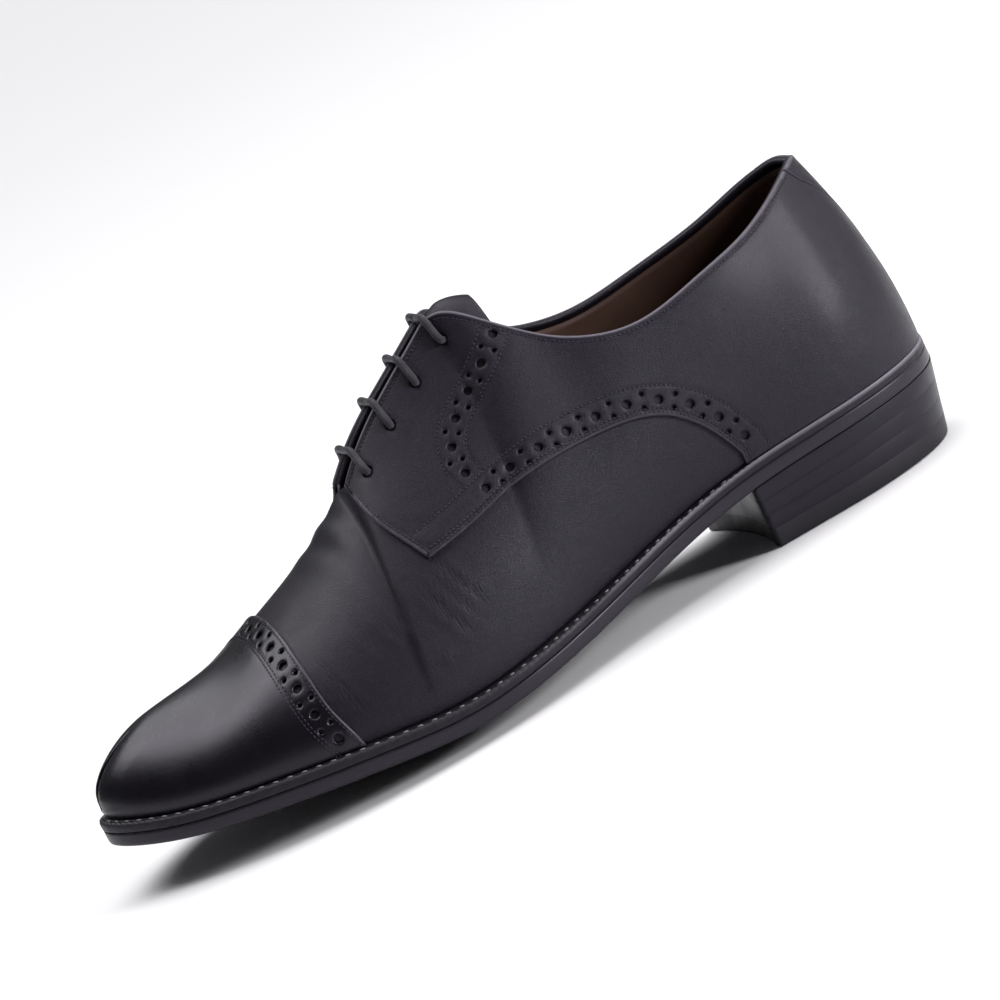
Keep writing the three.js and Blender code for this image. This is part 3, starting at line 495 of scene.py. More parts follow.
def relief(points):
    """Small height added to the leather by creases and its own unevenness, and how creased each place is."""
    s, y, z = -points[..., 0], points[..., 1], points[..., 2]
    height = np.zeros(s.shape)
    creased = np.zeros(s.shape)
    for crease in CREASES:
        a, b = np.array(crease["start"]), np.array(crease["end"])
        run = b - a
        size = np.hypot(*run)
        run = run / size
        way = (s - a[0]) * run[0] + (z - a[1]) * run[1]
        bow = 1.2 * np.sin(way / size * math.pi) + 0.35 * np.sin(way * 1.1 + a[0])
        off = (s - a[0]) * run[1] - (z - a[1]) * run[0] + bow
        share = np.clip(np.minimum(way, size - way) / (0.35 * size), 0, 1)
        fade = share * share * (3 - 2 * share) * (np.sign(y) == crease["side"])
        q = off / crease["width"]
        height += fade * crease["depth"] * (0.55 * np.exp(-(np.abs(q) - 1.9) ** 2 / 0.8) - np.exp(-q * q))
        creased = np.maximum(creased, fade * np.exp(-(off / 1.7) ** 2) * crease["depth"] / 0.4)
    for flex in FLEXES:
        off = s - flex["along"] + flex["lean"] * np.abs(y - 3)
        fade = np.exp(-((y - 3) / flex["reach"]) ** 2) * (z > 30)
        q = off / flex["width"]
        height += fade * flex["depth"] * (0.5 * np.exp(-(np.abs(q) - 2) ** 2) - np.exp(-q * q))
    height += 0.10 * np.sin(s / 9 + 0.3 * z) * np.sin(z / 8 + 0.05 * s) * np.exp(-((s - 195) / 30) ** 2)
    height += 0.05 * np.sin(s / 14 + 1.3) * np.sin(z / 11 + y / 17)
    return height, creased


def skin(side, at, v, offset):
    """The form with its creases."""
    side, at, v, offset = np.broadcast_arrays(*(np.asarray(q, float) for q in (side, at, v, offset)))
    ground = bare(side, at, v)
    return ground + normal(side, at, v) * (offset + relief(ground)[0])[..., None]


def even_steps(rows, step):
    """The places in rows and even steps between them."""
    places = [rows[0]]
    for a, b in zip(rows, rows[1:]):
        count = max(1, int(math.ceil((b - a) / step)))
        places += [a + (b - a) * (k + 1) / count for k in range(count)]
    return np.array(places)


ROW_PLACES = sorted(set(list(COLLAR["at"]) + list(FACING["at"]) + list(RIDGE["at"])))


FOLD = 0.035                         # share of the height where the leather is turned over the topline


def open_edge(at):
    """1 along the topline and facings, 0 over the ridge of the vamp."""
    return np.clip((RIDGE_START - at) / (RIDGE_START - THROAT_AT), 0, 1)


def hull(outside, inside, at_step, up_steps, top=lambda at: 1.0):
    """Both sides of the form between two offsets, as one closed shell open at collar, throat and foot."""
    at = even_steps(ROW_PLACES, at_step)
    v = np.linspace(0, 1, up_steps + 1)
    a, w = np.meshgrid(at, v, indexing="ij")
    w = w * top(a)
    layers, quads = [], []
    for k, side in enumerate((-1, 1)):
        one = grid_quads(len(at), len(v), k * a.size)
        quads.append(one if side < 0 else one[:, ::-1])
    for offset in (outside, inside(a, w)):
        layers.append(np.concatenate([skin(side, a, w, offset).reshape(-1, 3) for side in (-1, 1)]))
    return thicken(layers[0], layers[1], np.concatenate(quads))[:2]


# Flat patterns. A pattern's point is (at, up), up running from 0 at the foot to 1 at the top. Over the ridge
# up runs on to 2 down the inner side. Round the heel at is negative on the inner side instead.
def outer_face(p):
    return np.full(p.shape[:-1], -1.0), p[..., 0], p[..., 1]


def inner_face(p):
    return np.full(p.shape[:-1], 1.0), p[..., 0], p[..., 1]


def over_ridge(p):
    return np.where(p[..., 1] > 1, 1.0, -1.0), p[..., 0], np.where(p[..., 1] > 1, 2 - p[..., 1], p[..., 1])


def round_heel(p):
    return np.where(p[..., 0] < 0, 1.0, -1.0), np.abs(p[..., 0]), p[..., 1]


LOWEST = {outer_face: (0, 0), inner_face: (0, 0), over_ridge: (0, 0), round_heel: (-1, 0)}
HIGHEST = {outer_face: (1, 1), inner_face: (1, 1), over_ridge: (1, 2), round_heel: (1, 1)}


def spot(pattern, p, offset=0.0):
    side, at, v = pattern(p)
    return skin(side, np.clip(at, 0, 1), np.clip(v, 0, 1), offset)


def spread(pattern, p):
    """Change of place for a step along each pattern axis, and the outward normal."""
    p = np.clip(p, LOWEST[pattern], HIGHEST[pattern])
    changes = []
    for axis, h in ((0, 4e-4), (1, 2e-3)):
        step = np.eye(2)[axis] * h
        high, low = np.minimum(p + step, HIGHEST[pattern]), np.maximum(p - step, LOWEST[pattern])
        run = (high - low)[..., axis]
        changes.append((spot(pattern, high) - spot(pattern, low)) / run[..., None])
    return *changes, normal(*pattern(p))


def shift_on(pattern, p, vector):
    """Pattern points moved by vectors that lie on the surface."""
    du, dv, _ = spread(pattern, p)
    a, b, c = (np.sum(x * y, -1) for x, y in ((du, du), (du, dv), (dv, dv)))
    e, f = np.sum(du * vector, -1), np.sum(dv * vector, -1)
    size = a * c - b * b
    return p + np.stack([(e * c - f * b) / size, (f * a - e * b) / size], -1)


def lengths(points):
    return np.concatenate([[0], np.cumsum(np.linalg.norm(np.diff(points, axis=0), axis=1))])


def read_along(pattern, line, places):
    """Pattern points at real lengths along a line."""
    way = lengths(spot(pattern, line))
    return np.stack([np.interp(places, way, line[:, k]) for k in (0, 1)], -1)


def resample(pattern, line, step):
    total = lengths(spot(pattern, line))[-1]
    count = max(2, int(round(total / step)) + 1)
    return read_along(pattern, line, np.linspace(0, total, count))


def beside(pattern, line, distance):
    """A line moved sideways on the surface."""
    points = spot(pattern, line)
    tangent = unit(np.gradient(points, axis=0))
    _, _, out = spread(pattern, line)
    return shift_on(pattern, line, np.cross(out, tangent) * distance)


def nearest(points, line):
    """Distance of each point to a polyline, by its nearest corner and the two runs that meet there."""
    tree = KDTree(len(line))
    for k, p in enumerate(line.tolist()):
        tree.insert(p, k)
    tree.balance()
    found = np.array([tree.find(p)[1] for p in points.tolist()], int)
    best = np.full(len(points), 1e9)
    for k in (found - 1, found):
        k = np.clip(k, 0, len(line) - 2)
        run = line[k + 1] - line[k]
        size = np.maximum(np.sum(run * run, -1), 1e-12)
        share = np.clip(np.sum((points - line[k]) * run, -1) / size, 0, 1)
        best = np.minimum(best, np.linalg.norm(points - line[k] - share[:, None] * run, axis=-1))
    return best


def within(points, loop):
    """Which flat points lie inside a closed loop."""
    x, y = points[:, 0][:, None], points[:, 1][:, None]
    ax, ay = loop[:, 0], loop[:, 1]
    bx, by = np.roll(ax, -1), np.roll(ay, -1)
    result = np.zeros(len(points), bool)
    near = np.flatnonzero(np.all((points >= loop.min(0)) & (points <= loop.max(0)), axis=1))
    for start in range(0, len(near), 2000):
        part = near[start:start + 2000]
        spans = (ay > y[part]) != (by > y[part])
        cross = ax + (y[part] - ay) * (bx - ax) / np.where(by == ay, 1e-12, by - ay)
        result[part] = np.sum(spans & (x[part] < cross), 1) % 2 == 1
    return result


FLAT = np.array([345.0, 74.0])       # rough millimetres for one unit of a pattern's axes


def circles(pattern, holes, wider, many, few):
    """Pattern loops of the round holes, each widened by the same amount."""
    if not holes:
        return []
    centres = np.array([centre for centre, _ in holes])
    counts = [many if radius > 1 else few for _, radius in holes]
    du, _, out = spread(pattern, centres)
    x = unit(du)
    y = np.cross(out, x)
    which = np.repeat(np.arange(len(holes)), counts)
    turn = np.concatenate([np.arange(n) * 2 * math.pi / n for n in counts])
    size = np.array([radius + wider for _, radius in holes])[which]
    ring = size[:, None] * (np.cos(turn)[:, None] * x[which] + np.sin(turn)[:, None] * y[which])
    return np.split(shift_on(pattern, centres[which], ring), np.cumsum(counts)[:-1])


STEP = 1.5                           # from point to point inside a sheet
EDGE_STEP = 0.9                      # and along its edges
BASE = 0.03                          # a sheet's underside over the form
EDGE_RADIUS = 0.55
BEAD = 0.12                          # height of the rim that folding leaves along an edge


def cut_sheet(name, pattern, outline, holes, grooves, material, edges, highlighted_edges, thickness=1.25):
    """A sheet of leather laid on the form: an outline of lines, punched holes and pressed-in seams."""
    outline = np.concatenate([line[:-1] for line in outline])
    flat_outline = outline * FLAT
    ring_out = spot(pattern, np.concatenate([outline, outline[:1]]), BASE)
    fixed = [outline]
    loops = [np.arange(len(outline))]
    count = len(outline)
    for loop in circles(pattern, holes, 0, 14, 9):
        loops.append(np.arange(len(loop)) + count)
        count += len(loop)
        fixed.append(loop)
    free = []
    closed = np.concatenate([outline, outline[:1]])
    for distance in (0.2, 0.5, 0.95, 1.6):
        for sign in (1, -1):
            ring = beside(pattern, closed, sign * distance)
            good = within(ring * FLAT, flat_outline)
            gap = nearest(spot(pattern, ring, BASE), ring_out)
            good &= (gap > 0.8 * distance) & (gap < 1.3 * distance)
            free.append(ring[good])
    for wider in (0.3, 0.8):
        free += circles(pattern, holes, wider, 13, 9)
    for groove in grooves:
        line = resample(pattern, groove, 1.0)
        for distance in (0, 0.45, -0.45, 0.95, -0.95):
            free.append(beside(pattern, line, distance) if distance else line)
    low, high = flat_outline.min(0), flat_outline.max(0)
    x = np.arange(low[0], high[0], STEP)
    y = np.arange(low[1], high[1], STEP * 0.87)
    gx, gy = np.meshgrid(x, y, indexing="ij")
    gx = gx + (np.arange(len(y)) % 2) * STEP / 2
    lattice = np.stack([gx.ravel(), gy.ravel()], -1)
    free = np.concatenate(free)
    free = free[within(free * FLAT, flat_outline)]
    for centre, radius in holes:
        away = np.linalg.norm(spot(pattern, free, BASE) - spot(pattern, centre[None], BASE), axis=1)
        free = free[away > radius + 0.22]
    fixed = np.concatenate(fixed)
    free = thin_out(np.concatenate([fixed, free]) * FLAT, 0.33, len(fixed))
    lattice = lattice[within(lattice, flat_outline)]
    lattice = lattice[far_from(lattice, free, 0.8 * STEP)]
    flat = np.concatenate([free, lattice])
    rings = [(int(a), int(b)) for loop in loops for a, b in zip(loop, np.roll(loop, -1))]
    made = delaunay_2d_cdt([Vector(p) for p in flat.tolist()], rings, [], 0, 1e-6)
    vertices = np.array([v[:] for v in made[0]])
    faces = np.array([f for f in made[2] if len(f) == 3])
    middle = vertices[faces].mean(1)
    keep = within(middle, flat_outline)
    for loop in loops[1:]:
        keep &= ~within(middle, flat[loop])
    faces = faces[keep]
    p = vertices / FLAT
    ground = spot(pattern, p, BASE)
    border = np.min([nearest(ground, spot(pattern, e, BASE)) for e in edges], axis=0)
    # Painted highlight: a lighter colour along the given edges, standing in for the sheen on their beads
    painted_highlight = np.zeros(len(ground))
    for line, highlight_share in highlighted_edges:
        gap = nearest(ground, spot(pattern, line, BASE))
        painted_highlight = np.maximum(painted_highlight, highlight_share * np.exp(-((gap - 0.3) / 0.36) ** 2))
    curve = np.clip(1 - border / EDGE_RADIUS, 0, 1)
    height = thickness - 0.75 * EDGE_RADIUS * (1 - np.sqrt(1 - curve ** 2))
    height = height + BEAD * np.exp(-((border - 0.75) / 0.5) ** 2)
    for groove in grooves:
        gap = nearest(ground, spot(pattern, resample(pattern, groove, 0.8), BASE))
        height -= 0.2 * np.exp(-(gap / 0.42) ** 2)
    for centre, radius in holes:
        away = np.linalg.norm(ground - spot(pattern, centre[None], BASE), axis=1)
        height -= 0.3 * np.exp(-((away - radius) / 0.32) ** 2) * (away < radius + 2)
    side, at, v = pattern(p)
    out = normal(side, np.clip(at, 0, 1), np.clip(v, 0, 1))
    top = ground + out * height[:, None]
    points, shell, first = thicken(top, ground, faces)
    painted_highlight = np.concatenate([painted_highlight[first], painted_highlight[first]])
    slot = "polished_leather" if material is polished else "upper_leather"
    return add_piece(name, points, shell, material, slot, (name,), painted_highlight=painted_highlight)


def crowded(cells, x, y, gap):
    """Whether a noted point lies within the gap."""
    i, j = int(x // gap), int(y // gap)
    noted = (q for dx in (-1, 0, 1) for dy in (-1, 0, 1) for q in cells.get((i + dx, j + dy), ()))
    return any((x - a) ** 2 + (y - b) ** 2 < gap * gap for a, b in noted)


def note(cells, x, y, gap):
    cells.setdefault((int(x // gap), int(y // gap)), []).append((x, y))


def thin_out(points, gap, keep):
    """Points at least a gap apart. The first ones always stay."""
    cells = {}
    kept = []
    for i, (x, y) in enumerate(points):
        if i < keep or not crowded(cells, x, y, gap):
            note(cells, x, y, gap)
            kept.append(i)
    return points[kept]


def far_from(points, others, gap):
    """Which points have no other within the gap."""
    cells = {}
    for x, y in others:
        note(cells, x, y, gap)
    return np.array([not crowded(cells, x, y, gap) for x, y in points], bool)


# Seam lines on the form, found where it crosses a curve drawn in side view
SEAM_OFFSET = 0.9                    # the leather's face over the form, on which the seams are read


def bisect(low, high, below):
    """Places between low and high where below() stops being true."""
    for _ in range(30):
        middle = (low + high) / 2
        under = below(middle)
        low, high = np.where(under, middle, low), np.where(under, high, middle)
    return (low + high) / 2


def line_by_height(side, at, reach):
    """v on each meridian where its height equals a curve's height at its own distance from the heel."""
    def below(v):
        p = form(side, at, v, SEAM_OFFSET)
        return p[:, 2] < reach(-p[:, 0])

    return np.stack([at, bisect(np.zeros(len(at)), np.ones(len(at)), below)], -1)


def line_by_length(side, v, reach, low, high):
    """at for each v where its distance from the heel equals a curve's distance at its own height."""
    def short(at):
        p = form(side, at, v, SEAM_OFFSET)
        return -p[:, 0] < reach(p[:, 2])

    return np.stack([bisect(np.full(len(v), float(low)), np.full(len(v), float(high)), short), v], -1)


def side_spot(side, s, z, guess):
    """(at, v) of the place with that distance from the heel and that height."""
    a, v = guess
    h = 1e-4
    for _ in range(12):
        here = form(side, a, v, SEAM_OFFSET)
        du = (form(side, a + h, v, SEAM_OFFSET) - here) / h
        dv = (form(side, a, v - h, SEAM_OFFSET) - here) / -h
        wrong = np.array([-s - here[0], z - here[2]])
        step = np.linalg.solve(np.array([[du[0], dv[0]], [du[2], dv[2]]]), wrong)
        a = float(np.clip(a + 0.8 * step[0], 0.01, 0.99))
        v = float(np.clip(v + 0.8 * step[1], 0.01, 0.995))
    return a, v


def to_ridge(side, line):
    """(at, v) rows of one side as points of the ridge's pattern."""
    return line if side < 0 else np.stack([line[:, 0], 2 - line[:, 1]], -1)


def side_view(rows, share):
    along = np.array([r[0] for r in rows]) * SOLE_LENGTH
    return along, middle_top(along) + np.array([r[1] for r in rows]) * share


wing_along, wing_up = side_view(WING, FACING_HEIGHT)
front_along, front_up = side_view(FRONT, FACING_HEIGHT)
wing_curve = spline(wing_along, wing_up)
front_curve = spline(front_up, front_along)
cap_along = SOLE_LENGTH - np.array([r[0] for r in CAP_SEAM]) * CAP_LENGTH
cap_up = middle_top(cap_along) + np.array([r[1] for r in CAP_SEAM]) * TOE_BOX_HEIGHT
cap_curve = spline(cap_up, cap_along)
STAY_UP = np.array([r[0] for r in STAY]) * (SEAT_HEIGHT + BACK_HEIGHT)
STAY_HALF = np.array([r[1] * r[2] for r in STAY])
# Punched band down the facing, seen from the side, and a pattern point near each of its points
FACING_BAND = [(126.4, 104), (131.5, 98.8), (136.5, 95.3), (143.5, 90), (151.5, 84.6), (157.6, 79),
               (160, 73), (159, 68)]
BAND_GUESSES = [(0.468, 0.96), (0.48, 0.88), (0.491, 0.83), (0.508, 0.76), (0.53, 0.73), (0.55, 0.7),
                (0.552, 0.64), (0.545, 0.59)]
TOE_EVENINGS = 14                    # times the cap's leather is evened over the toe's tip
TOE_HALF = 0.011                     # metres to both sides of the tip
TOE_REACH = 0.036                    # metres back from the tip
TOE_FOOT = 3                         # millimetres above the sole, where it starts
# Punched holes: radius, and how far the small ones lie beside the row of big ones
HOLE_BIG = 1.4
HOLE_SMALL = 0.75
HOLE_BESIDE = 2.1
# Rows of stitches and middles of the punched bands, in from a sheet's edge
TOP_ROW = 2.0
FRONT_ROW = 1.5
WING_ROW, WING_INNER_ROW, WING_UPPER_ROW = 1.3, 2.35, 9.3
WING_BAND = 5.0
BAND_HALF = 4.4                      # from the middle of the facing's band to its rows
CAP_ROWS = (1.3, 8.2, 9.3)
CAP_BAND = 4.8
STAY_ROW = 1.4
# Bands of holes: first and last distance from the line's ends, and pitch of the big ones
WING_HOLES = (27, 3.5, 10.4)
FACING_HOLES = (3.6, 2.0, 9.7)
CAP_HOLES = (5.5, 3.0, 9.9)


def wing_line(side):
    """Lower edge of the quarter, from the welt to its corner, in pattern points."""
    start = side_spot(side, wing_along[0], wing_up[0], (0.285, 0.08))
    foot_at = line_by_length(side, np.array([0.0]), lambda z: wing_along[0] + 0 * z, 0.2, 0.35)[0, 0]
    corner = side_spot(side, wing_along[-1], wing_up[-1], (0.607, 0.48))
    line = line_by_height(side, np.linspace(start[0], corner[0], 90), wing_curve)
    line[-1] = corner
    return np.concatenate([[[foot_at, 0.0]], line]), corner


def front_line(side, corner):
    """Front edge of the quarter, from its corner to the throat."""
    line = line_by_length(side, np.linspace(corner[1], 0.985, 40), front_curve, 0.55, 0.655)
    line[0] = corner
    return np.concatenate([line, [[THROAT_AT, 1.0]]])


def stay_line(side, extra):
    """Edge of the back stay, from the topline down to the foot."""
    v = np.linspace(1, 0, 40)

    def near(at):
        p = form(side, at, v, SEAM_OFFSET)
        return np.abs(p[:, 1]) < np.interp(p[:, 2], STAY_UP, STAY_HALF) + extra

    return np.stack([bisect(np.zeros(len(v)), np.full(len(v), 0.2), near), v], -1)


def holes_along(pattern, line, start, end, pitch):
    """Big holes at a pitch along a line, with a pair of small ones across it between each two."""
    total = lengths(spot(pattern, line))[-1]
    count = int((total - start - end) // pitch) + 1
    places = start + pitch * np.arange(count)
    big = read_along(pattern, line, places)
    holes = [(p, HOLE_BIG) for p in big]
    between = places[:-1] + pitch / 2
    for distance in (HOLE_BESIDE, -HOLE_BESIDE):
        row = beside(pattern, line, distance)
        way = lengths(spot(pattern, line))
        pair = np.stack([np.interp(between, way, row[:, k]) for k in (0, 1)], -1)
        holes += [(p, HOLE_SMALL) for p in pair]
    return holes


def eyelet_places(side):
    first = COLLAR_END - 0.004
    last = THROAT_AT - 0.022
    places = []
    for at in np.linspace(first, last, LACE_COUNT):
        v = np.linspace(1, 0.6, 81)
        way = lengths(bare(np.full(81, float(side)), np.full(81, at), v))
        places.append((float(at), float(np.interp(EYELET_INSET, way, v))))
    return places


stitch_runs = {}
STITCH_PITCH = 1.45
STITCH_LENGTH = 1.02
STITCH_RADIUS = 0.17
STITCH_MARGIN = 0.4                  # free run at both ends of a row


def stitch(group, pattern, line, height):
    """Notes a row of stitches: their places, directions and size."""
    total = lengths(spot(pattern, line))[-1]
    places = np.arange(STITCH_MARGIN, total - STITCH_MARGIN, STITCH_PITCH)
    if len(places) < 2:
        return
    p = read_along(pattern, line, places)
    _, _, out = spread(pattern, p)
    ahead = spot(pattern, read_along(pattern, line, np.minimum(places + 0.3, total)))
    behind = spot(pattern, read_along(pattern, line, np.maximum(places - 0.3, 0)))
    run = (spot(pattern, p, height), unit(ahead - behind), out, STITCH_LENGTH, STITCH_RADIUS)
    stitch_runs.setdefault(group, []).append(run)


def tube_faces(count, sides, first=0):
    """Faces of a closed tube made of rings of points, one after another."""
    i, j = np.meshgrid(np.arange(count - 1), np.arange(sides), indexing="ij")
    a, b = (i * sides + j).ravel(), (i * sides + (j + 1) % sides).ravel()
    faces = (np.stack([a, b, b + sides, a + sides], -1) + first).tolist()
    faces.append([first + k for k in reversed(range(sides))])
    faces.append([first + (count - 1) * sides + k for k in range(sides)])
    return faces


def make_stitches(name, runs, material, slot):
    """Short bowed threads, one mesh."""
    rings = [(-0.5, -0.32, 0.45), (-0.36, 0.02, 1.0), (0, 0.14, 1.08), (0.36, 0.02, 1.0), (0.5, -0.32, 0.45)]
    sides = 6
    points, faces = [], []
    for places, along, out, length, radius in runs:
        across = unit(np.cross(along, out))
        turn = np.arange(sides) * 2 * math.pi / sides
        for centre, t, n, b in zip(places, along, out, across):
            first = len(points)
            for way, lift, size in rings:
                middle = centre + t * way * length + n * lift * 2 * radius
                for q in turn:
                    points.append(middle + radius * size * (math.cos(q) * n + 1.25 * math.sin(q) * b))
            faces += tube_faces(len(rings), sides, first)
    return add_piece(name, np.array(points), faces, material, slot)


# Pieces of the upper
def make_vamp():
    def inside(at, v):
        fold = np.clip((v - 1 + FOLD) / 0.012, 0, 1) * open_edge(at)
        return -LEATHER - (WALL - LEATHER) * fold

    points, faces = hull(0.0, inside, 0.0042, 86)
    creased = relief(points)[1]
    return add_piece("vamp", points, faces, leather, "upper_leather", ("upper",), creased=creased)


def make_lining():
    def inside(at, v):
        return -WALL + 0.15 + 0 * at

    def top(at):
        return 1 - FOLD * open_edge(at)

    points, faces = hull(-LEATHER - 0.05, inside, 0.012, 36, top)
    return add_piece("lining", points, faces, lining, "lining")


def punch(obj, holes):
    """Cuts round holes straight through a piece."""
    points, faces = [], []
    sides = 20
    for middle, out, radius, depth in holes:
        x = unit(np.cross(out, [0, 0.3, 1.0]))
        y = np.cross(out, x)
        first = len(points)
        for level in (-depth, depth):
            for k in range(sides):
                q = 2 * math.pi * k / sides
                points.append(middle + out * level + radius * (math.cos(q) * x + math.sin(q) * y))
        faces.append(tuple(first + k for k in reversed(range(sides))))
        faces.append(tuple(first + sides + k for k in range(sides)))
        for k in range(sides):
            n = (k + 1) % sides
            faces.append((first + k, first + n, first + sides + n, first + sides + k))
    mesh = bpy.data.meshes.new("punch")
    mesh.from_pydata(to_frame(np.array(points)).tolist(), [], faces)
    tool = bpy.data.objects.new("punch", mesh)
    tidy_normals(mesh)
    bpy.context.scene.collection.objects.link(tool)
    cut = obj.modifiers.new("holes", "BOOLEAN")
    cut.operation = "DIFFERENCE"
    cut.solver = "MANIFOLD"
    cut.object = tool
    bpy.context.view_layer.objects.active = obj
    bpy.ops.object.modifier_apply(modifier=cut.name)
    bpy.data.objects.remove(tool)


def straight(start, end, v, count):
    """A pattern line at one height."""
    return np.stack([np.linspace(start, end, count), np.full(count, float(v))], -1)


def make_quarter(side):
    name, face = ("outer", outer_face) if side < 0 else ("inner", inner_face)
    wing, corner = wing_line(side)
    front = front_line(side, corner)
    stay = stay_line(side, 0.22)
    top = straight(THROAT_AT, stay[0, 0], 1, 140)
    foot = straight(stay[-1, 0], wing[0, 0], 0, 60)
    sides = {"wing": wing, "front": front, "top": top, "stay": stay, "foot": foot}
    sides = {key: resample(face, line, EDGE_STEP) for key, line in sides.items()}
    turn = -1 if side < 0 else 1

    def inward(key, distance):
        return trim(beside(face, sides[key], turn * distance))

    wing_band = inward("wing", WING_BAND)
    band = np.array([side_spot(side, s, z, guess) for (s, z), guess in zip(FACING_BAND, BAND_GUESSES)])
    band = resample(face, smooth_line(band), 1.0)
    lace = [(np.array(p), LACE_HOLE) for p in eyelet_places(side)]
    holes = lace + holes_along(face, wing_band[::-1], *WING_HOLES) + holes_along(face, band, *FACING_HOLES)
    band_sides = [beside(face, band, d)[2:-1] for d in (BAND_HALF, -BAND_HALF)]
    upper = inward("wing", WING_UPPER_ROW)
    rows = [
        inward("top", TOP_ROW),
        inward("front", FRONT_ROW),
        *(to_foot(inward("wing", row)) for row in (WING_ROW, WING_INNER_ROW)),
        to_foot(upper),
        *(np.concatenate([line, meet_wing(line, upper)]) for line in band_sides),
    ]
    for row in rows:
        stitch("quarter_" + name, face, row, OVERLAY + 0.02)
    edges = [sides[key] for key in ("wing", "front", "top")]
    # Painted highlight along the topline, the front edge and faintly along the wing
    highlighted_edges = [(sides["top"], 1.0), (sides["front"][2:-8], 0.8), (sides["wing"], 0.22)]
    outline = list(sides.values())
    return cut_sheet("quarter_" + name, face, outline, holes, rows, leather, edges, highlighted_edges)


def to_foot(line):
    """A line that starts near the foot, drawn on down to it."""
    line = line[line[:, 1] > 0.03]
    run = line[0] - line[3]
    shares = np.linspace(0.95, 0.1, 5)[:, None]
    return np.concatenate([line[0] + run * shares * (line[0, 1] - 0.01) / -run[1], line])


def trim(line):
    return line[1:-1]


def smooth_line(points, count=60):
    """Smooth curve through a few pattern points."""
    way = np.concatenate([[0], np.cumsum(np.hypot(*(np.diff(points, axis=0) * FLAT).T))])
    t = np.linspace(0, way[-1], count)
    return np.stack([spline(way, points[:, k])(t) for k in (0, 1)], -1)


def meet_wing(line, wing):
    """Last short run of a band's stitches to the wing's upper row."""
    end = line[-1]
    flat = wing * FLAT
    ahead = (line[-1] - line[-4]) * FLAT
    ahead = ahead / np.hypot(*ahead)
    way = flat - end * FLAT
    score = np.hypot(*way.T) - 0.8 * (way @ ahead)
    target = wing[np.argmin(score)]
    return end + (target - end) * np.linspace(0.15, 0.96, 8)[:, None]


def cap_line(side, margin=0.0):
    v = np.linspace(0, 1, 60)
    return line_by_length(side, v, lambda z: cap_curve(z) + margin, 0.6, 0.98)


def make_cap():
    outer = cap_line(-1)
    inner = to_ridge(1, cap_line(1))[::-1]
    seam = resample(over_ridge, np.concatenate([outer, inner[1:]]), EDGE_STEP)
    toe = resample(over_ridge, np.stack([np.ones(61), np.linspace(0, 1, 61)], -1), EDGE_STEP)
    toe_back = to_ridge(1, toe[::-1])
    feet = [straight(outer[0, 0], 1, 0, 50), straight(1, seam[-1, 0], 2, 50)]
    feet = [resample(over_ridge, line, EDGE_STEP) for line in feet]
    outline = [feet[0], toe, toe_back, feet[1], seam[::-1]]
    rows = [trim(beside(over_ridge, seam, row)) for row in CAP_ROWS]
    for row in rows:
        stitch("toe_cap", over_ridge, row, OVERLAY + 0.02)
    holes = holes_along(over_ridge, trim(beside(over_ridge, seam, CAP_BAND)), *CAP_HOLES)
    # Painted highlight along the cap's seam
    cap = cut_sheet("toe_cap", over_ridge, outline, holes, rows, polished, [seam], [(seam, 0.35)])
    tip = to_frame([-SOLE_LENGTH, SOLE["inner"][-1] * BALL_WIDTH, 0])
    foot = (sole_top(np.array([SOLE_LENGTH]), np.zeros(1))[0] + TOE_FOOT) / 1000
    work = bmesh.new()
    work.from_mesh(cap.data)
    near = [v for v in work.verts if abs(v.co.y - tip[1]) < TOE_HALF and v.co.x < tip[0] + TOE_REACH]
    near = [v for v in near if v.co.z > foot]
    for _ in range(TOE_EVENINGS):
        bmesh.ops.smooth_vert(work, verts=near, factor=0.5, use_axis_x=True, use_axis_y=True, use_axis_z=True)
    work.to_mesh(cap.data)
    work.free()
    return cap


def make_stay():
    outer = stay_line(-1, 0.0)
    inner = stay_line(1, 0.0)
    mirror = inner * np.array([-1, 1])
    top = straight(outer[0, 0], -inner[0, 0], 1, 20)
    foot = straight(-inner[-1, 0], outer[-1, 0], 0, 14)
    outer, mirror, top, foot = (resample(round_heel, line, EDGE_STEP) for line in (outer, mirror, top, foot))
    outline = [top, mirror, foot, outer[::-1]]
    rows = [trim(beside(round_heel, line, d)) for line, d in ((outer, STAY_ROW), (mirror, -STAY_ROW))]
    for row in rows:
        stitch("back_stay", round_heel, row, OVERLAY + 0.05)
    # Painted highlight along the stay's top and faintly along its sides
    highlighted_edges = [(top, 1.0), (outer, 0.15), (mirror, 0.15)]
    return cut_sheet("back_stay", round_heel, outline, [], rows, leather, [outer, mirror, top], highlighted_edges, 1.3)


# Tongue, between the facings and up out of the throat
TONGUE = [(0.462, 0.22), (0.475, 0.158), (0.49, 0.07), (0.51, 0.012), (0.54, 0), (0.575, 0), (0.61, 0),
          (0.64, 0), (0.665, 0)]
TONGUE_GAP = 1.3
TONGUE_THICKNESS = 1.6
TONGUE_TUCK = 0.24
TONGUE_FLAT = 0.45


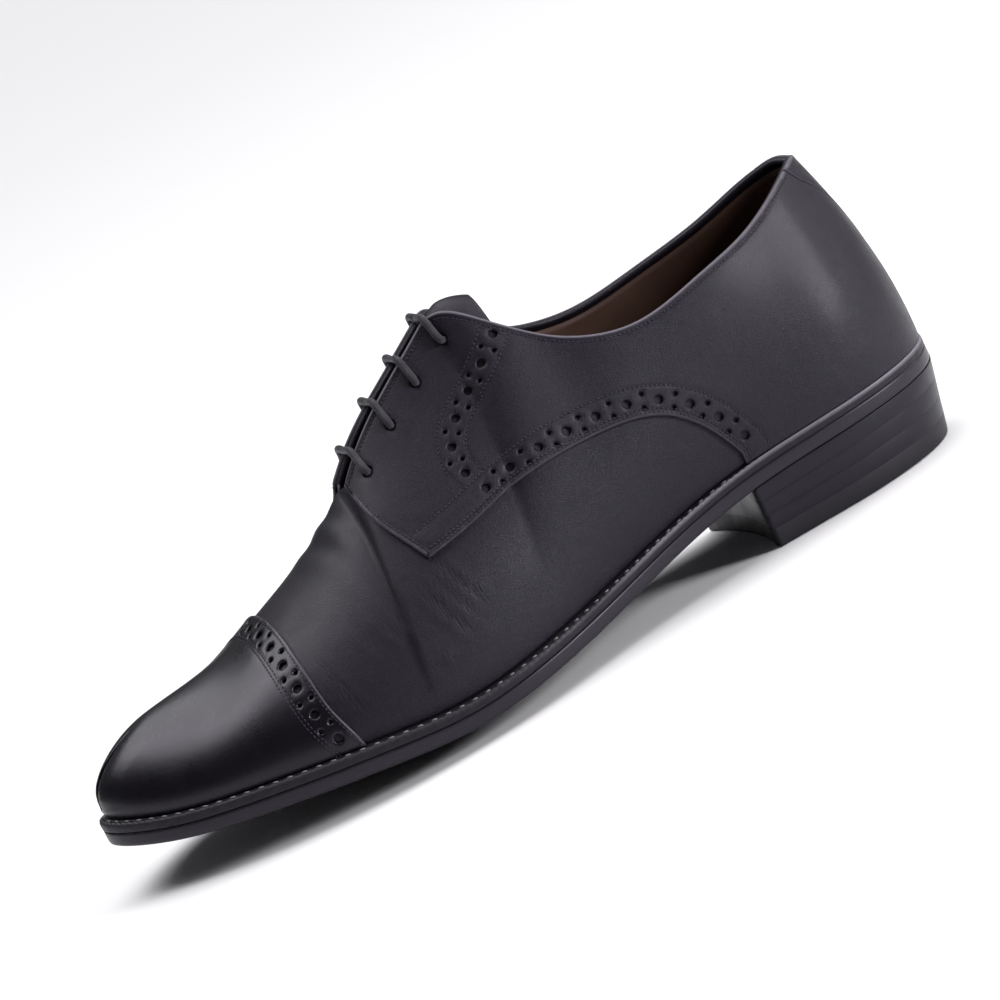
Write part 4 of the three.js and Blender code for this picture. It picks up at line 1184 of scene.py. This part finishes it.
def make_tongue():
    arch = spline([r[0] for r in TONGUE], [r[1] * COLLAR_WIDTH for r in TONGUE])
    at = np.linspace(TONGUE[0][0], TONGUE[-1][0], 90)
    across = np.linspace(-1, 1, 57)
    a, w = np.meshgrid(at, across, indexing="ij")
    size = np.abs(w)
    edge_gap = np.minimum((1 - size) * 32, (a - at[0]) * 330)
    round_off = 0.55 * np.exp(-np.clip(edge_gap, 0, 9) / 0.9)
    layers = []
    for depth in (WALL + TONGUE_GAP + round_off, WALL + TONGUE_GAP + TONGUE_THICKNESS - round_off):
        v = 1 - TONGUE_TUCK * (size - TONGUE_FLAT) / (1 - TONGUE_FLAT)
        tucked = form(np.sign(w), a, np.clip(v, 0, 1), -depth)
        low, high = form(-1, a, 1.0, -depth), form(1, a, 1.0, -depth)
        share = (w / TONGUE_FLAT + 1) / 2
        flat = low + (high - low) * share[..., None]
        flat[..., 2] += arch(a) * (1 - (w / TONGUE_FLAT) ** 2)
        layers.append(np.where((size >= TONGUE_FLAT)[..., None], tucked, flat).reshape(-1, 3))
    points, faces, _ = thicken(layers[0], layers[1], grid_quads(len(at), len(across)))
    return add_piece("tongue", points, faces, leather, "upper_leather", ("tongue",))


# Lace: four bars across, squeezed flat where it runs hidden under the facings
LACE_STEP = 0.35                     # from ring to ring
UNDER = WALL + 0.62                  # how far the hidden runs lie below the form


def sweep(path, wide, tall):
    """Tube of a path with its own width and height at each point. Its frame turns with the path."""
    sides = 14
    up = np.array([0, 0, 1.0])
    tangent = unit(np.gradient(path, axis=0))
    lifts = [unit(up - tangent[0] * (up @ tangent[0]))]
    for a, b in zip(tangent, tangent[1:]):
        axis = np.cross(a, b)
        size = np.linalg.norm(axis)
        turned = lifts[-1]
        if size > 1e-9:
            twist = Matrix.Rotation(math.asin(min(size, 1)), 3, Vector(axis / size))
            turned = np.array(twist @ Vector(turned))
        lifts.append(unit(turned - b * (turned @ b)))
    lift = np.array(lifts)
    beside_way = np.cross(tangent, lift)
    turn = np.arange(sides) * 2 * math.pi / sides
    rings = (path[:, None] + lift[:, None] * (np.cos(turn)[None, :] * tall[:, None])[..., None]
             + beside_way[:, None] * (np.sin(turn)[None, :] * wide[:, None])[..., None])
    count = len(path)
    way = lengths(path)
    uv = np.stack([np.repeat(way, sides) * 0.1, np.tile(np.arange(sides) / sides, count)], -1)
    return rings.reshape(-1, 3), tube_faces(count, sides), uv


def bar_path(k):
    """Points of one crossing from the outer hole to the inner one."""
    radius = LACE_DIAMETER / 2
    run = GAP + OVERLAY + radius + 0.1
    halves = []
    for side in (-1, 1):
        at, v = eyelets[side][k]
        leg = [form(side, at, v, offset) for offset in (-1.35, -0.3, 0.7, run - 0.9)]
        halves.append(leg + [form(side, at, v + (1 - v) * share, run) for share in (0.22, 0.6, 1.0)])
    middle = (halves[0][-1] + halves[1][-1]) / 2
    return halves[0] + [middle] + halves[1][::-1]


def under_run(side, start, end, shift=0.0):
    """Points of the hidden run under a facing between two lace holes."""
    a, b = eyelets[side][start], eyelets[side][end]
    points = []
    for share in np.linspace(0.07, 0.93, 7):
        at = a[0] + (b[0] - a[0]) * share
        v = a[1] + (b[1] - a[1]) * share - shift * math.sin(math.pi * share)
        points.append(form(side, at, v, -UNDER))
    return points


def rounded(points):
    """Even points of a smooth curve through the given ones."""
    points = np.array(points)
    gaps = np.linalg.norm(np.diff(points, axis=0), axis=1)
    knots = np.concatenate([[0], np.cumsum(np.sqrt(np.maximum(gaps, 1e-6)))])
    fine = np.linspace(0, knots[-1], 1600)
    curve = np.stack([spline(knots, points[:, k])(fine) for k in range(3)], -1)
    way = lengths(curve)
    places = np.linspace(0, way[-1], int(way[-1] / LACE_STEP))
    return np.stack([np.interp(places, way, curve[:, k]) for k in range(3)], -1)


def make_lace():
    """The lace from the lowest bar up, and its loose end under the inner facing."""
    route = under_run(1, 3, 0, 0.045)[:0:-1]
    route += bar_path(3)[::-1]
    route += under_run(-1, 3, 2)
    route += bar_path(2)
    route += under_run(1, 2, 1)
    route += bar_path(1)[::-1]
    route += under_run(-1, 1, 0)
    route += bar_path(0)
    at, v = eyelets[1][0]
    route += [form(1, at + 0.004, v, -UNDER)]
    path = rounded(route)
    radius = LACE_DIAMETER / 2
    flat = np.clip((depth_in_wall(path) - 0.9) / 1.3, 0, 1)
    flat = np.convolve(np.pad(flat, 3, mode="edge"), np.ones(7) / 7, mode="valid")
    wide = radius * (1 - 0.52 * flat)
    tall = radius * (1 + 0.3 * flat)
    points, faces, uv = sweep(path, wide, tall)
    names = [f"lace_bar_{k + 1}" for k in range(LACE_COUNT)]
    return add_piece("lace", points, faces, cord, "lace", names, uv=uv)


def depth_in_wall(path):
    """How far each point lies below the form's surface, near the facings."""
    at = np.linspace(0.49, 0.65, 60)
    v = np.linspace(0.78, 1, 40)
    a, w = np.meshgrid(at, v, indexing="ij")
    best = np.full(len(path), 1e9)
    depth = np.zeros(len(path))
    for side in (-1, 1):
        ground = form(side, a, w).reshape(-1, 3)
        out = normal(np.full(a.shape, float(side)), a, w).reshape(-1, 3)
        for k, p in enumerate(path):
            gap = np.linalg.norm(ground - p, axis=1)
            i = int(np.argmin(gap))
            if gap[i] < best[k]:
                best[k] = gap[i]
                depth[k] = -(p - ground[i]) @ out[i]
    return depth


# Sole and heel, as rings round the sole's edge closed by plates
def ring_slab(name, profile, low, high, material, slot, to=1.0, hollow=0.0, across=14, at_step=0.004,
              cut=lambda e, share: 0.0):
    """Closed piece: profile rows are (inset from the edge, share of the height from low to high)."""
    at = even_steps([p for p in ROW_PLACES if p < to] + [to], at_step)
    w = np.linspace(-1, 1, across + 1)

    def rim(side, places, d, share):
        along, y, out_along, out_across = edge(side, places)
        d = d + cut(np.stack([along, y, out_along, out_across]), share)
        s, c = along - out_along * d, y - out_across * d
        base = low(s, c)
        return np.stack([-s, c, base + (high(s, c) - base) * share], -1)

    def plate(row):
        d, share = row
        sides = [rim(np.full(len(at), float(k)), at, d, share) for k in (-1, 1)]
        part = ((w + 1) / 2)[None, :, None]
        flat = sides[0][:, None] * (1 - part) + sides[1][:, None] * part
        flat[..., 0] += hollow * (1 - w ** 2)[None, :] * ((at / to) ** 6)[:, None]
        s, y = -flat[..., 0], flat[..., 1]
        flat[..., 2] = low(s, y) + (high(s, y) - low(s, y)) * share
        flat[:, 0], flat[:, -1] = sides[0], sides[1]
        return flat

    rows, faces, count = [], [], 0
    bottom, top = plate(profile[0]), plate(profile[-1])
    for k, flat in enumerate((bottom, top)):
        quads = grid_quads(len(at), len(w), count)
        faces.append(quads if k else quads[:, ::-1])
        rows.append(flat.reshape(-1, 3))
        count += flat.shape[0] * flat.shape[1]
    for side in (-1, 1):
        ring = np.stack([rim(np.full(len(at), float(side)), at, d, share) for d, share in profile], 1)
        quads = grid_quads(len(at), len(profile), count)
        faces.append(quads if side > 0 else quads[:, ::-1])
        rows.append(ring.reshape(-1, 3))
        count += ring.shape[0] * ring.shape[1]
    if to < 1:
        base, height = profile[0][1], profile[-1][1] - profile[0][1]
        shares = [(share - base) / height for _, share in profile]
        face = np.stack([bottom[-1] * (1 - share) + top[-1] * share for share in shares], 1)
        for end, side in ((0, -1.0), (-1, 1.0)):
            face[end] = [rim(np.full(1, side), np.array([to]), d, share)[0] for d, share in profile]
        faces.append(grid_quads(len(w), len(profile), count))
        rows.append(face.reshape(-1, 3))
    points = np.concatenate(rows)
    first, kept = weld(points, np.concatenate(faces))
    return add_piece(name, points[first], kept, material, slot, (name,))


def sole_face(s, y):
    return sole_bottom(s, y) + OUTSOLE_THICKNESS


OUTSOLE_EDGE = [(5.0, 0.0), (0.9, 0.0), (0.35, 0.04), (0.1, 0.12), (0.0, 0.24), (0.0, 0.5), (0.0, 0.8),
                (0.06, 0.93), (0.3, 1.0), (5.0, 1.0)]
HEEL_EDGE = [(4.0, 0.0), (0.06, 0.0), (0.02, 0.008), (0.0, 0.02), (0.0, 0.5), (0.0, 0.98), (0.02, 0.992),
             (0.06, 1.0), (4.0, 1.0)]


def heel_cut(level, e):
    """How far the heel is set in from the outsole's edge at a share of its height."""
    back = np.maximum(-e[2], 0)
    return (1 - level) * (HEEL_TAPER * back + HEEL_SIDE_TAPER * (1 - back))


def make_heel():
    to = float(np.interp(HEEL_LENGTH, walks[-1]["along"], walks[-1]["share"]))

    def lift_height(k):
        return lambda s, y: TOP_PIECE_THICKNESS + (sole_bottom(s, y) - TOP_PIECE_THICKNESS) * k / LIFT_COUNT

    def flat(z):
        return lambda s, y: z + 0 * s

    def level(face):
        return min(float(face(zero, zero)[0]) / SEAT_HEIGHT, 1)

    zero = np.zeros(1)
    lifts = range(1, LIFT_COUNT + 1)
    seams = [flat(0.0), flat(TOP_PIECE_THICKNESS)] + [lift_height(k) for k in lifts]
    names = ["heel_top_piece"] + [f"heel_lift_{k}" for k in lifts]
    for k, name in enumerate(names):
        low, high = seams[k], seams[k + 1]
        a, b = level(low), level(high)
        material, slot = (top_rubber, "top_piece") if k == 0 else (heel_leather, "heel_stack")

        def cut(e, share, a=a, b=b):
            return heel_cut(a + (b - a) * share, e)

        ring_slab(name, HEEL_EDGE, low, high, material, slot, to, BREAST_HOLLOW, 20, cut=cut)


WELT_EDGE = [(0.35, 0.0), (0.12, 0.06), (0.03, 0.2), (0.0, 0.5), (0.04, 0.72), (0.3, 0.92), (0.75, 1.0),
             (1.25, 1.0), (1.6, 0.97), (1.9, 0.88), (2.2, 0.97), (2.7, 1.0), (3.4, 1.02), (4.3, 1.1),
             (5.2, 1.16), (5.9, 1.0)]
WELT_WIDTH = 5.9                     # reach of the rows above
WELT_GAP = 0.05                      # over the outsole
WELT_PITCH = 4.7                     # from stitch to stitch
WELT_STITCH_LENGTH = 2.1
WELT_STITCH_RADIUS = 0.36
CHANNEL = 1.9                        # the stitches' distance from the edge
WHEEL_PITCH = 2.35                   # from mark to mark along the edge


def make_welt():
    """Strip between outsole and upper: wheeled along its top, with a stitch channel and a painted highlight along
    its top outer corner, strongest towards the heel.
    """
    at = even_steps(ROW_PLACES, 0.0018)
    rows, painted_highlight = [], []
    # Painted highlight on the welt's top outer corner: a lighter colour standing in for the bright line of its
    # sheen
    corner = np.array([math.exp(-((d - 0.3) / 0.3) ** 2) * (0.6 < share) for d, share in WELT_EDGE] + [0])
    for side in (-1, 1):
        sides = np.full(len(at), float(side))
        along, y, out_along, out_across = edge(sides, at)
        inward = inset(along)
        way = at * walks[side]["length"]
        seat = np.clip((0.30 - at) / 0.04, 0, 1)
        ring = []
        for d, share in WELT_EDGE:
            narrow = np.minimum(d * (inward + 1.7) / WELT_WIDTH, d)
            s, c = along - out_along * narrow, y - out_across * narrow
            wheel = 0.16 * np.cos(2 * math.pi * way / WHEEL_PITCH) * (share > 0.9) * (d < 1.7) * (1 - seat)
            rough = 0.10 * np.sin(way * 1.9 + 7 * share) * np.sin(way * 0.83 + 3 * share) * (d < 0.3)
            z = sole_face(along, y) + WELT_GAP + (WELT_THICKNESS + GAP) * share + wheel
            s, c = s - out_along * rough, c - out_across * rough
            ring.append(np.stack([-s, c, z], -1))
        foot = ring[-1].copy()
        foot[:, 2] = sole_face(along, y) + WELT_GAP
        rows.append(np.stack(ring + [foot], 1))
        # Painted highlight strength: faint towards the toe, full from the waist back to the heel
        highlight_share = 0.12 + 0.88 * np.clip((0.47 - at) / 0.08, 0, 1)
        painted_highlight.append(highlight_share[:, None] * corner[None, :])
    painted_highlight = np.concatenate([w.ravel() for w in painted_highlight])
    points, faces, count = [], [], 0
    steps = rows[0].shape[1]
    for k, ring in enumerate(rows):
        quads = grid_quads(len(at), steps, count)
        last = np.arange(len(at) - 1) * steps + count
        shut = np.stack([last + steps - 1, last + 2 * steps - 1, last + steps, last], -1)
        quads = np.concatenate([quads, shut])
        faces.append(quads[:, ::-1] if k == 0 else quads)
        points.append(ring.reshape(-1, 3))
        count += ring.shape[0] * ring.shape[1]
    points = np.concatenate(points)
    first, kept = weld(points, np.concatenate(faces))
    add_piece("welt", points[first], kept, welt_dye_and_painted_shade, "sole_edge", ("welt",), painted_highlight=painted_highlight[first])
    runs = []
    for side in (-1, 1):
        total = walks[side]["length"]
        places = np.arange(0.31 * total, total - 2, WELT_PITCH) / total
        along, y, out_along, out_across = edge(np.full(len(places), float(side)), places)
        narrow = CHANNEL * (inset(along) + 1.7) / WELT_WIDTH
        z = sole_face(along, y) + WELT_GAP + (WELT_THICKNESS + GAP) * 0.9 + 0.12
        middle = np.stack([-(along - out_along * narrow), y - out_across * narrow, z], -1)
        tangent = unit(np.gradient(middle, axis=0))
        out = np.repeat([[0, 0, 1.0]], len(places), 0)
        out = unit(out - tangent * np.sum(out * tangent, -1, keepdims=True))
        runs.append((middle, tangent, out, WELT_STITCH_LENGTH, WELT_STITCH_RADIUS))
    make_stitches("welt_stitches", runs, welt_thread_painted_highlight, "sole_edge")


INSOLE_EDGE = [(3.0, 0.0), (0.3, 0.0), (0.0, 0.2), (0.0, 0.75), (0.25, 0.95), (0.8, 1.0), (4.0, 1.0)]
INSOLE_THICKNESS = 3.2
INSOLE_LIFT = 0.5                    # over the outsole
INSOLE_GAP = 0.6                     # from the lining, beside the gap between solids


def make_insole():
    def low(s, y):
        return sole_face(s, y) + INSOLE_LIFT

    def high(s, y):
        return low(s, y) + INSOLE_THICKNESS

    def cut(e, share):
        return inset(e[0]) + WALL + INSOLE_GAP + GAP

    ring_slab("insole", INSOLE_EDGE, low, high, lining, "lining", across=16, at_step=0.008, cut=cut)


# Materials
SPECULAR = 0.26
SPECULAR_TINT = (0.9, 0.85, 1.0, 1)
# Painted highlight colours: laid along the leather's beaded edges and the welt's top corner, standing in for their
# sheen
HIGHLIGHT_PAINT = (0.15, 0.135, 0.165)
HIGHLIGHT_PAINT_EDGE = (0.17, 0.155, 0.18)


class Paint:
    """A material: its shader and the nodes that feed it."""

    def __init__(self, name, color, roughness):
        self.material = bpy.data.materials.new(name)
        self.material.use_nodes = True
        self.tree = self.material.node_tree
        self.shader = self.tree.nodes["Principled BSDF"]
        self.feed(self.shader, {
            "Base Color": (*color, 1),
            "Roughness": roughness,
            "Specular IOR Level": SPECULAR,
            "Specular Tint": SPECULAR_TINT,
        })

    def feed(self, node, sockets):
        """Sets a node's inputs to values, or links them to other nodes' outputs."""
        for key, value in sockets.items():
            if isinstance(value, bpy.types.NodeSocket):
                self.tree.links.new(value, node.inputs[key])
            else:
                node.inputs[key].default_value = value

    def node(self, kind, output, sockets, **settings):
        """The output of a new node."""
        node = self.tree.nodes.new("ShaderNode" + kind)
        for key, value in settings.items():
            setattr(node, key, value)
        self.feed(node, sockets)
        return node.outputs[output]

    def place(self):
        """Object coordinates in millimetres."""
        source = self.node("TexCoord", "Object", {})
        return self.node("VectorMath", 0, {0: source, "Scale": 1000}, operation="SCALE")

    def share(self, name):
        """A share that the mesh holds for each point."""
        return self.node("Attribute", "Fac", {}, attribute_name=name)

    def noise(self, where, scale, detail=3.0, rough=0.55):
        sockets = {"Vector": where, "Scale": scale, "Detail": detail, "Roughness": rough}
        return self.node("TexNoise", "Fac", sockets)

    def ramp(self, value, low, high, out_low, out_high):
        sockets = {"Value": value, "From Min": low, "From Max": high, "To Min": out_low, "To Max": out_high}
        return self.node("MapRange", "Result", sockets)

    def mix(self, factor, a, b):
        """Between two colours, each a value or a node's output."""
        a, b = ((*color, 1) if isinstance(color, tuple) else color for color in (a, b))
        return self.node("Mix", "Result", {"Factor": factor, "A": a, "B": b}, data_type="RGBA")

    def bumps(self, heights):
        """Chain of bumps: (height, distance in millimetres, strength)."""
        last = {}
        for height, distance, strength in heights:
            sockets = {"Height": height, "Distance": distance / 1000, "Strength": strength, **last}
            last = {"Normal": self.node("Bump", "Normal", sockets)}
        self.feed(self.shader, last)


def leather_material(name, dark, light, gloss, grain, coat):
    paint = Paint(name, dark, gloss[0])
    where = paint.place()
    color = paint.mix(paint.noise(where, 0.05), dark, light)
    cloud = paint.noise(where, 0.12, 4, 0.6)
    paint.feed(paint.shader, {
        # Painted highlight: lighter colour where the mesh's highlight share is set
        "Base Color": paint.mix(paint.share("painted_highlight"), color, HIGHLIGHT_PAINT),
        "Roughness": paint.ramp(cloud, 0.3, 0.7, *gloss),
        "Coat Weight": coat,
        "Coat Roughness": 0.22,
    })
    warp = paint.node("TexNoise", "Color", {"Vector": where, "Scale": 1.1})
    bent = paint.node("VectorMath", 0, {0: where, 1: warp}, operation="ADD")
    cells = paint.node("TexVoronoi", "Distance", {"Vector": bent, "Scale": 1.9}, feature="DISTANCE_TO_EDGE")
    wrinkle = {"Vector": where, "Rotation": (0, math.radians(-17), 0), "Scale": (1.5, 0.3, 0.17)}
    lines = paint.noise(paint.node("Mapping", "Vector", wrinkle), 1.0, 3, 0.6)
    paint.bumps([
        (paint.noise(where, 0.16, 2, 0.5), 0.5, 0.5 * grain),
        (paint.node("Math", 0, {0: lines, 1: paint.share("creased")}, operation="MULTIPLY"), 0.9, 0.8),
        (paint.ramp(cells, 0.0, 0.16, 0.0, 1.0), 0.08, grain),
        (paint.noise(where, 2.4, 3, 0.6), 0.26, grain),
    ])
    return paint.material


def lining_material():
    paint = Paint("lining_leather", (0.09, 0.045, 0.028), 0.6)
    where = paint.place()
    tone = paint.noise(where, 0.06, 4)
    paint.feed(paint.shader, {
        "Base Color": paint.mix(tone, (0.035, 0.017, 0.011), (0.075, 0.038, 0.025)),
        "Roughness": paint.ramp(tone, 0.3, 0.7, 0.5, 0.68),
    })
    paint.bumps([(paint.noise(where, 2.6, 4, 0.6), 0.08, 0.6)])
    return paint.material


def edge_material(name, dark, light, gloss, line_scale, line_depth):
    """Dyed and waxed leather edge: fine lines along the layers and small scuffs, and a painted highlight where the
    mesh holds one.
    """
    paint = Paint(name, dark, gloss[0])
    where = paint.place()
    stretched = paint.node("Mapping", "Vector", {"Vector": where, "Scale": (0.14, 0.14, 1.0)})
    streak = paint.noise(stretched, line_scale, 4, 0.6)
    cloud = paint.noise(where, 0.11, 4, 0.6)
    paint.feed(paint.shader, {
        # Painted highlight: lighter colour where the mesh's highlight share is set
        "Base Color": paint.mix(paint.share("painted_highlight"), paint.mix(streak, dark, light), HIGHLIGHT_PAINT_EDGE),
        "Roughness": paint.ramp(cloud, 0.3, 0.7, *gloss),
        "Coat Weight": 0.05,
        "Coat Roughness": 0.3,
    })
    paint.bumps([(streak, line_depth, 0.6), (paint.noise(where, 1.8, 3, 0.6), 0.05, 0.6)])
    return paint.material


def cord_material():
    """Waxed braid: crossing strands from the lace's own length and turn."""
    paint = Paint("waxed_cord", (0.02, 0.019, 0.022), 0.42)
    source = paint.node("UVMap", "UV", {}, uv_map="UVMap")
    heights = []
    for angle in (0.5, -0.5):
        shear = {"Vector": source, "Rotation": (0, 0, angle), "Scale": (16, 5, 1)}
        strand = {"Vector": paint.node("Mapping", "Vector", shear), "Scale": 1.2, "Distortion": 0.6}
        heights.append((paint.node("TexWave", "Fac", strand), 0.12, 0.6))
    fuzz = paint.noise(paint.place(), 3.0, 4, 0.7)
    paint.feed(paint.shader, {
        "Base Color": paint.mix(fuzz, (0.008, 0.007, 0.0105), (0.03, 0.027, 0.036)),
        "Sheen Weight": 0.15,
    })
    paint.bumps(heights + [(fuzz, 0.08, 0.5)])
    return paint.material


def thread_material(name, color, roughness):
    paint = Paint(name, color, roughness)
    fuzz = paint.noise(paint.place(), 4.0, 3, 0.6)
    light = tuple(c * 1.8 for c in color)
    paint.feed(paint.shader, {"Base Color": paint.mix(fuzz, color, light)})
    paint.bumps([(fuzz, 0.06, 0.5)])
    return paint.material


# Dark and light colour, least and most roughness, then grain and coat or the lines' scale and depth
leather = leather_material(
    "black_calf", (0.0035, 0.0027, 0.0052), (0.0065, 0.0052, 0.009), (0.36, 0.46), 0.5, 0.05)
polished = leather_material(
    "polished_calf", (0.003, 0.0024, 0.004), (0.0055, 0.0046, 0.0072), (0.25, 0.34), 0.2, 0.12)
sole_leather = edge_material(
    "sole_edge", (0.008, 0.007, 0.0095), (0.019, 0.017, 0.022), (0.32, 0.44), 1.4, 0.06)
# The welt's edge is darker than the outsole's: its own black dye, darkened further as painted shade where the upper
# meets the welt
welt_dye_and_painted_shade = edge_material(
    "welt_edge", (0.003, 0.0026, 0.0038), (0.009, 0.008, 0.0105), (0.42, 0.6), 1.1, 0.25)
heel_leather = edge_material(
    "heel_edge", (0.004, 0.0035, 0.0055), (0.008, 0.007, 0.0105), (0.34, 0.48), 1.6, 0.05)
top_rubber = edge_material(
    "top_piece_rubber", (0.008, 0.0075, 0.009), (0.013, 0.012, 0.014), (0.45, 0.6), 0.8, 0.03)
lining = lining_material()
cord = cord_material()
thread = thread_material("black_thread", (0.014, 0.012, 0.017), 0.4)
# Painted highlight: the welt's black thread is coloured pale grey to stand in for the glints on its stitches
welt_thread_painted_highlight = thread_material("waxed_thread", (0.13, 0.12, 0.13), 0.45)

# The shoe
eyelets = {side: eyelet_places(side) for side in (-1, 1)}
vamp = make_vamp()
inside = make_lining()
bores = []
for side in (-1, 1):
    for at, v in eyelets[side]:
        middle = form(side, at, v)
        bores.append((middle, form(side, at, v, 1.0) - middle, LACE_HOLE, BORE_DEPTH))
for piece in (vamp, inside):
    punch(piece, bores)
make_quarter(-1)
make_quarter(1)
make_cap()
make_stay()
make_tongue()
make_lace()
ring_slab("outsole", OUTSOLE_EDGE, sole_bottom, sole_face, sole_leather, "sole_edge")
make_welt()
make_heel()
make_insole()
for group, runs in stitch_runs.items():
    make_stitches(group + "_stitches", runs, thread, "upper_leather")


# Floor, light and camera
def make_floor():
    bpy.ops.mesh.primitive_plane_add(size=40, location=(0, 0, -0.0003))
    floor = bpy.context.object
    floor.name = "floor"
    paint = Paint("pale_floor", (0.86, 0.85, 0.87), 0.6)
    paint.feed(paint.shader, {"Specular IOR Level": 0.2})
    floor.data.materials.append(paint.material)


LAMP_DISTANCE = 1.4
TARGET = np.array([-150.0, 0.0, 51.2])
AZIMUTH = math.radians(-14.7)
ELEVATION = math.radians(12.3)
ROLL = math.radians(-27.2)
DISTANCE = 1500.0
LENS = 173.9
TARGET_PIXEL = (489.5, 504.2)
IMAGE = 1000
back = np.array([math.sin(AZIMUTH), -math.cos(AZIMUTH), math.tan(ELEVATION)]) * math.cos(ELEVATION)
level_right = np.array([math.cos(AZIMUTH), math.sin(AZIMUTH), 0.0])
level_up = np.cross(back, level_right)
view_right = math.cos(ROLL) * level_right + math.sin(ROLL) * level_up
view_up = -math.sin(ROLL) * level_right + math.cos(ROLL) * level_up


def make_camera():
    data = bpy.data.cameras.new("camera")
    data.sensor_width = 36
    data.lens = LENS
    data.shift_x = (IMAGE / 2 - TARGET_PIXEL[0]) / IMAGE
    data.shift_y = (TARGET_PIXEL[1] - IMAGE / 2) / IMAGE
    data.clip_start = 0.05
    data.clip_end = 50
    camera = bpy.data.objects.new("camera", data)
    place = to_frame(TARGET + back * DISTANCE)
    axes = Matrix([list(row) for row in np.stack([view_right, view_up, back], 1)])
    camera.matrix_world = Matrix.Translation(Vector(place)) @ axes.to_4x4()
    bpy.context.scene.collection.objects.link(camera)
    bpy.context.scene.camera = camera


def add_lamp(name, kind, way, place=(0, 0, 0), **settings):
    """A light that shines from the direction of way."""
    data = bpy.data.lights.new(name, kind)
    for key, value in settings.items():
        setattr(data, key, value)
    lamp = bpy.data.objects.new(name, data)
    lamp.location = place
    lamp.rotation_mode = "QUATERNION"
    lamp.rotation_quaternion = Vector(way).to_track_quat("Z", "Y")
    bpy.context.scene.collection.objects.link(lamp)


def soft_box(name, direction, size, power):
    """Soft light in a direction given by right, up and towards the viewer of the photograph."""
    way = unit(view_right * direction[0] + view_up * direction[1] + back * direction[2])
    place = Vector(to_frame(TARGET)) + Vector(way) * LAMP_DISTANCE
    add_lamp(name, "AREA", way, place, shape="RECTANGLE", size=size[0], size_y=size[1], energy=power)


def make_light():
    world = bpy.data.worlds.new("studio")
    world.use_nodes = True
    sky = world.node_tree.nodes["Background"]
    sky.inputs["Color"].default_value = (0.97, 0.965, 1.0, 1)
    sky.inputs["Strength"].default_value = 0.1
    bpy.context.scene.world = world
    add_lamp("sky_panel", "SUN", (0.05, 0.3, 1.0), energy=3.1, angle=math.radians(60))
    soft_box("left_key", (-1.0, 0.75, 0.1), (0.35, 1.0), 4)
    soft_box("right_front", (0.68, 0.6, 0.52), (0.4, 0.4), 18)
    soft_box("right_back", (0.5, 1.0, -0.25), (0.6, 0.4), 7)


make_floor()
make_camera()
make_light()
scene = bpy.context.scene
scene.view_settings.view_transform = "Standard"
scene.view_settings.look = "None"
scene.view_settings.exposure = 0
scene.view_settings.gamma = 1
